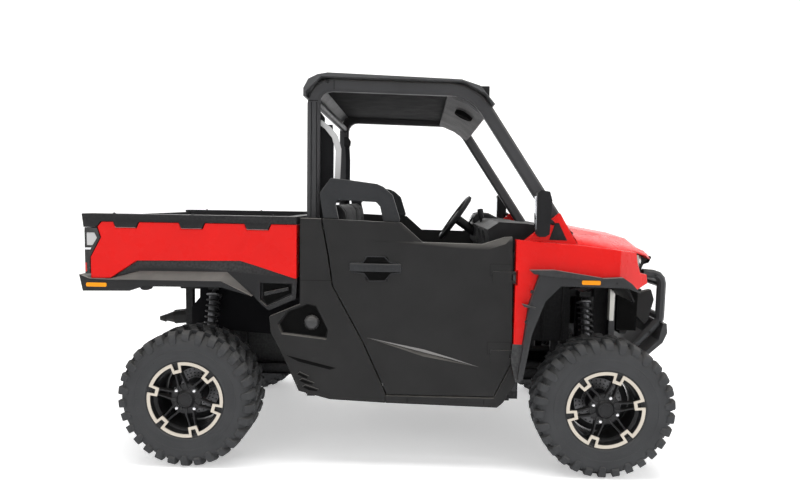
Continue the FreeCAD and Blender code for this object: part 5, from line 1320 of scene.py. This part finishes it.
splash = [plate("splash_guard", [(-1106.0, 602.0), (-480.0, 560.0), (-480.0, 915.0), (-1056.0, 915.0),
                                 (-1060.0, 770.0), (-1106.0, 716.0)], -306.0, -300.0, 2.0),
          plate("joint_cover", [(-452.0, 800.0), (-414.0, 800.0), (-414.0, 955.0), (-452.0, 930.0)], -686.0,
                -668.0)]
added("splash_guards", both(splash), headliner, "chassis")
flare_bolts = bolts("flare_bolts", [(700.0, -787.0, 905.0), (678.0, -787.0, 760.0), (1100.0, -787.0, 952.0)],
                    TO_RIGHT, bolt_steel)
added("flare_bolts", both([flare_bolts]), bolt_steel, "chassis")

# The fascia is a grained plastic nose with a slatted grille; each headlamp is a clear shell over a dark
# housing with two lenses. The amber marker is a ribbed lens pressed into the flare.
dressed("fascia", grey_plastic, 6.0)
slat = plate("slat", [(1360.0, 800.0), (1384.0, 803.0), (1385.0, 812.0), (1361.0, 812.0)], -292.0, 292.0, 2.0)
added("grille_slats", [repeated_row("slats", slat, 6, (2.2, 0.0, 26.0), grey_plastic)], grey_plastic,
      "chassis")
shadow = plate("grille_shadow", [(1359.0, 790.0), (1366.0, 790.0), (1378.0, 960.0), (1370.0, 960.0)], -286.0,
               286.0, 1.0)
flank = plate("flank", [(1246.0, 640.0), (1352.0, 640.0), (1356.0, 860.0), (1300.0, 960.0), (1246.0, 960.0)],
              -332.2, -330.2)
added("grille_shadow", [shadow] + both([flank]), seam_shade, "chassis")
lamp_shell = finish("lamp_shell", (0.33, 0.32, 0.27), 0.1, mottle=0.2, coat=1.0, specular=0.24)
lamp_dark = finish("lamp_housing", (0.012, 0.012, 0.012), 0.25, coat=0.5)
lamp_glass = finish("lamp_glass", (0.62, 0.62, 0.60), 0.05, mottle=0.05, metal=0.5, coat=1.0)
amber = finish("amber_lens", (0.78, 0.28, 0.006), 0.3, mottle=0.06, coat=0.2, specular=0.1)


def lamp_body(node, marker_y, name):
    # The right-hand lamp of a node, without the marker that stands further out than a plane.
    piece = half_of(node, -1.0, name)
    with opened(piece.data) as shape:
        markers = [point for point in shape.verts if point.co.y < marker_y]
        bmesh.ops.delete(shape, geom=markers, context="VERTS")
    return piece


lamp = lamp_body("front_lamps", -0.6, "lamp")
front_lamps = added("front_lamps_dressed", both([rounded(lamp, 4.0, 3)]), lamp_shell, "chassis")
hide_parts("front_lamps")
LAMP_WAY = Vector((0.916, -0.400, 0.0))
for label, paint, outline in (
        ("lamp_bezels", lamp_dark, [(-8.0, 27.0), (2.0, 27.0), (4.0, 24.0), (2.0, 21.0), (-1.0, 20.0)]),
        ("lamp_lenses", lamp_glass, [(-8.0, 19.0), (1.0, 19.0), (5.0, 14.0), (7.0, 6.0), (7.2, 1.0)])):
    group = []
    for centre in (Vector((1316.0, -435.0, 1036.0)), Vector((1341.0, -378.0, 1028.0))):
        group.append(lathe(label, centre, centre + LAMP_WAY * 10.0, outline, 28))
    added(label, both(group), paint, "chassis")


def marker_lens(name, x0, x1, z0, z1, base_y, depth):
    # A lens with rounded ends and fine upright ribs, between two ends and two heights.
    bow = 5.0
    rib_step = 6.0
    half = (z1 - z0) / 2.0
    middle = (z0 + z1) / 2.0
    outline = []
    for end, way in ((x1 - bow, 1.0), (x0 + bow, -1.0)):
        for degrees in range(0, 181, 30):
            angle = math.radians(degrees)
            outline.append((end + way * bow * math.sin(angle), middle + way * half * math.cos(angle)))
    lens = plate(name, outline, base_y - depth, base_y, 1.2)
    rib_seed = slab("rib", x0 + 12.0, x0 + 14.0, z0 + 3.0, z1 - 3.0, base_y - depth - 0.5, base_y - 1.0)
    count = int((x1 - x0 - 26.0) / rib_step) + 1
    return [lens, repeated_row("ribs", rib_seed, count, (rib_step, 0.0, 0.0), amber)]


added("front_markers", both(marker_lens("front_marker", 932.0, 1021.0, 944.0, 965.0, -789.5, 4.6)), amber,
      "chassis")

# The guard is bent steel tube with a folded lower plate, bolted to the frame's nose.
# It is powder-coated satin grey-black.
guard_coat = finish("guard_coat", (0.038, 0.039, 0.041), 0.38, grain=0.2, grain_size=0.0009, dust_and_top_light=0.10,
                    wear=(0.08, 0.08, 0.08), specular=0.18)
dressed("brush_guard", guard_coat, 3.0)
guard_bolts = bolts("guard_bolts", [(1440.0, -353.0, 946.0), (1476.0, -353.0, 690.0),
                                    (1420.0, -353.0, 636.0)], TO_RIGHT, bolt_steel)
added("guard_bolts", both([guard_bolts]), bolt_steel, "chassis")

# Door mirrors: a moulded shell on a short stem, with the glass let into its rear face.
dressed("mirrors", black_plastic, 8.0, 3)
mirror_glass = finish("mirror_glass", (0.55, 0.57, 0.60), 0.04, mottle=0.02, metal=0.95)
glass = plate("mirror_glass", [(708.6, 1200.0), (712.0, 1200.0), (710.6, 1358.0), (707.4, 1358.0)], -786.0,
              -736.0, 1.5)
added("mirror_glasses", both([glass]), mirror_glass, "chassis")

# The cargo tub is rotation-moulded black plastic with a thick hollow rail and a ribbed floor.
# It tilts on a cross pin; pockets along the rail take tie-downs.
bed_plastic = finish("bed_plastic", (0.013, 0.013, 0.014), 0.55, grain=0.4, grain_size=0.0018, dust_and_top_light=0.14,
                     wear=(0.05, 0.05, 0.05), specular=0.12)
dressed("bed_tub", bed_plastic, 4.0)
FLOOR_Z = 940.0
floor_rib = plate("floor_rib", [(-1440.0, FLOOR_Z - 2.0), (-1432.0, FLOOR_Z + 6.0), (-474.0, FLOOR_Z + 6.0),
                                (-466.0, FLOOR_Z - 2.0)], -588.0, -556.0, 3.0)
wall_rib = slab("wall_rib", -1400.0, -1370.0, 950.0, 1180.0, -636.0, -630.0, 2.0)
far_rib = mirrored(wall_rib)
FLOOR_RIBS = 15
FLOOR_STEP = (0.0, 81.7, 0.0)
WALL_RIBS = 7
WALL_STEP = (145.0, 0.0, 0.0)
added("bed_floor_ribs", [repeated_row("floor_ribs", floor_rib, FLOOR_RIBS, FLOOR_STEP, bed_plastic)],
      bed_plastic, "cargo_bed")
added("bed_wall_ribs", [repeated_row("wall_ribs", wall_rib, WALL_RIBS, WALL_STEP, bed_plastic),
                        repeated_row("far_ribs", far_rib, WALL_RIBS, WALL_STEP, bed_plastic)], bed_plastic,
      "cargo_bed")
rail_bolts = bolts("rail_bolts", [(x, -690.0, 1240.6) for x in (-1350.0, -960.0, -560.0)], UPWARDS,
                   bolt_steel)
added("bed_rail_bolts", both([rail_bolts]), bolt_steel, "cargo_bed")

# The bed's sides carry red panels clipped under the rail, and dark skirts below with a wide chamfer.
# A duct mouth opens at the front of each skirt, and an amber lens sits at its tail.
dressed("bed_panels", red_plastic, 4.0, 3)
# A pale pink strip under each pocket: a painted highlight on the red panel's lip.
lip_highlight_paint = finish("polished_red_edge", (0.85, 0.42, 0.40), 0.2, mottle=0.04, coat=0.4)
# Its high dust term lightens the skirt's upward chamfer: painted top light as well as dust.
skirt_plastic = finish("skirt_plastic", (0.014, 0.014, 0.015), 0.5, grain=0.15, grain_size=0.0012, dust_and_top_light=0.65,
                       wear=(0.05, 0.05, 0.05), specular=0.16)
dressed("bed_skirts", skirt_plastic, 3.0)
POCKETS_X = ((-1331.0, -1208.0), (-1008.0, -883.0), (-686.0, -560.0))
# Near-black plates in the rail's tie-down pockets: painted shade in the recesses.
pocket_shades = []
lip_highlights = []
for rear, front in POCKETS_X:
    pocket_shades.append(plate("pocket", [(rear + 6.0, 1229.0), (rear + 26.0, 1229.0), (rear + 34.0, 1219.0),
                                    (front - 34.0, 1219.0), (front - 26.0, 1229.0), (front - 6.0, 1229.0),
                                    (front - 14.0, 1180.0), (rear + 12.0, 1180.0)], -742.8, -738.0, 1.0))
    lip_highlights.append(plate("pocket_lip", [(rear + 9.0, 1180.0), (front - 12.0, 1180.0), (front - 14.0, 1175.0),
                                     (rear + 11.0, 1175.0)], -744.5, -739.0, 0.8))
added("tie_down_pockets", both(pocket_shades), seam_shade, "cargo_bed")
added("pocket_lips", both(lip_highlights), lip_highlight_paint, "cargo_bed")
hump = plate("hump", [(-1240.0, 898.0), (-1214.0, 893.0), (-1202.0, 872.0), (-1190.0, 868.0),
                      (-1172.0, 868.0), (-1160.0, 873.0), (-1147.0, 898.0)], -737.0, -700.0, 3.0)
added("skirt_humps", both([hump]), bed_plastic, "cargo_bed")
# A near-black plate at the back of each duct mouth: painted shade inside the duct.
duct_back = plate("duct_back", [(-606.0, 908.0), (-468.0, 905.0), (-468.0, 864.0), (-584.0, 806.0),
                                (-606.0, 830.0)], -702.0, -694.0, 1.0)
duct_slat = plate("duct_slat", [(-600.0, 866.0), (-478.0, 894.0), (-476.0, 878.0), (-596.0, 848.0)], -716.0,
                  -700.0, 3.0)
added("skirt_ducts", both([duct_back]), seam_shade, "cargo_bed")
added("skirt_duct_slats", both([duct_slat]), skirt_plastic, "cargo_bed")

# Each tail lamp is a dark housing with a clear reversing lens above and red lenses below.
# A thin plated bar parts them.
housing = lamp_body("rear_lamps", -0.745, "housing")
rear_lamps = added("rear_lamps_dressed", both([rounded(housing, 3.0, 2)]), lamp_dark, "cargo_bed")
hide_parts("rear_lamps")
clear_lens = finish("clear_lens", (0.42, 0.42, 0.42), 0.15, mottle=0.08, coat=0.8)
red_lens = finish("red_lens", (0.50, 0.012, 0.010), 0.12, mottle=0.08, coat=0.8)
plated = finish("plated_bar", (0.70, 0.70, 0.72), 0.15, mottle=0.03, metal=0.9)
clear = plate("clear_lens", [(-1466.0, 1148.0), (-1428.0, 1148.0), (-1416.0, 1122.0), (-1438.0, 1086.0),
                             (-1466.0, 1086.0)], -739.5, -735.0, 2.0)
LENS_REAR = (-1481.0, -1477.0)
LENS_SIDES = (-726.0, -652.0)
rear_clear = slab("rear_clear", *LENS_REAR, 1150.0, 1086.0, *LENS_SIDES, 1.5)
bar = plate("bar", [(-1476.0, 1074.0), (-1443.0, 1074.0), (-1450.0, 1064.0), (-1476.0, 1064.0)], -739.0,
            -735.0, 1.0)
red_side = plate("red_side", [(-1476.0, 1000.0), (-1469.0, 1000.0), (-1468.0, 956.0), (-1476.0, 956.0)],
                 -739.0, -735.0, 1.0)
red_rear = slab("red_rear", *LENS_REAR, 1056.0, 954.0, *LENS_SIDES, 1.5)
added("reversing_lenses", both([clear, rear_clear]), clear_lens, "cargo_bed")
added("lamp_bars", both([bar]), plated, "cargo_bed")
added("red_lenses", both([red_side, red_rear]), red_lens, "cargo_bed")
added("rear_markers", both(marker_lens("rear_marker", -1466.0, -1364.0, 884.0, 904.0, -751.6, 4.6)), amber,
      "cargo_bed")

# The tailgate is a double-skinned moulding on two hinge pins, with a pressed field and a latch handle.
# Its red skin is a second moulding, with a raised rim round the field and five shallow ribs across it.
dressed("tailgate", bed_plastic, 3.0)
gate_skin = slab("gate_skin", -1489.5, -1485.0, 908.0, 1206.0, -612.0, 612.0, 1.5)
added("tailgate_skin", [gate_skin], red_plastic, "tailgate")


def rear_frame(name, half, low, high, width, back, front, edge):
    # A rim on the tailgate's face, between two planes along the vehicle.
    lines = []
    for gap in (0.0, width):
        near, far, foot, head = -half + gap, half - gap, low + gap, high - gap
        lines.append([(near, foot), (far, foot), (far, head), (near, head)])
    rim = rim_between(name, [[(x * MM, y * MM, z * MM) for y, z in line] for x in (back, front)
                             for line in lines])
    return rounded(rim, edge, 3)


added("tailgate_field", [rear_frame("field", 560.0, 960.0, 1160.0, 30.0, -1496.0, -1488.0, 4.0)], red_plastic,
      "tailgate")
latch = plate("latch", [(-1500.0, 1168.0), (-1488.0, 1174.0), (-1488.0, 1204.0), (-1500.0, 1198.0)], -110.0,
              110.0, 4.0, 3)
added("tailgate_latch", [latch], black_plastic, "tailgate")
gate_ribs = [slab("gate_rib", -1494.0, -1488.0, 1000.0, 1120.0, y - 20.0, y + 20.0, 2.5)
             for y in (-360.0, -180.0, 0.0, 180.0, 360.0)]
added("tailgate_ribs", gate_ribs, red_plastic, "tailgate")
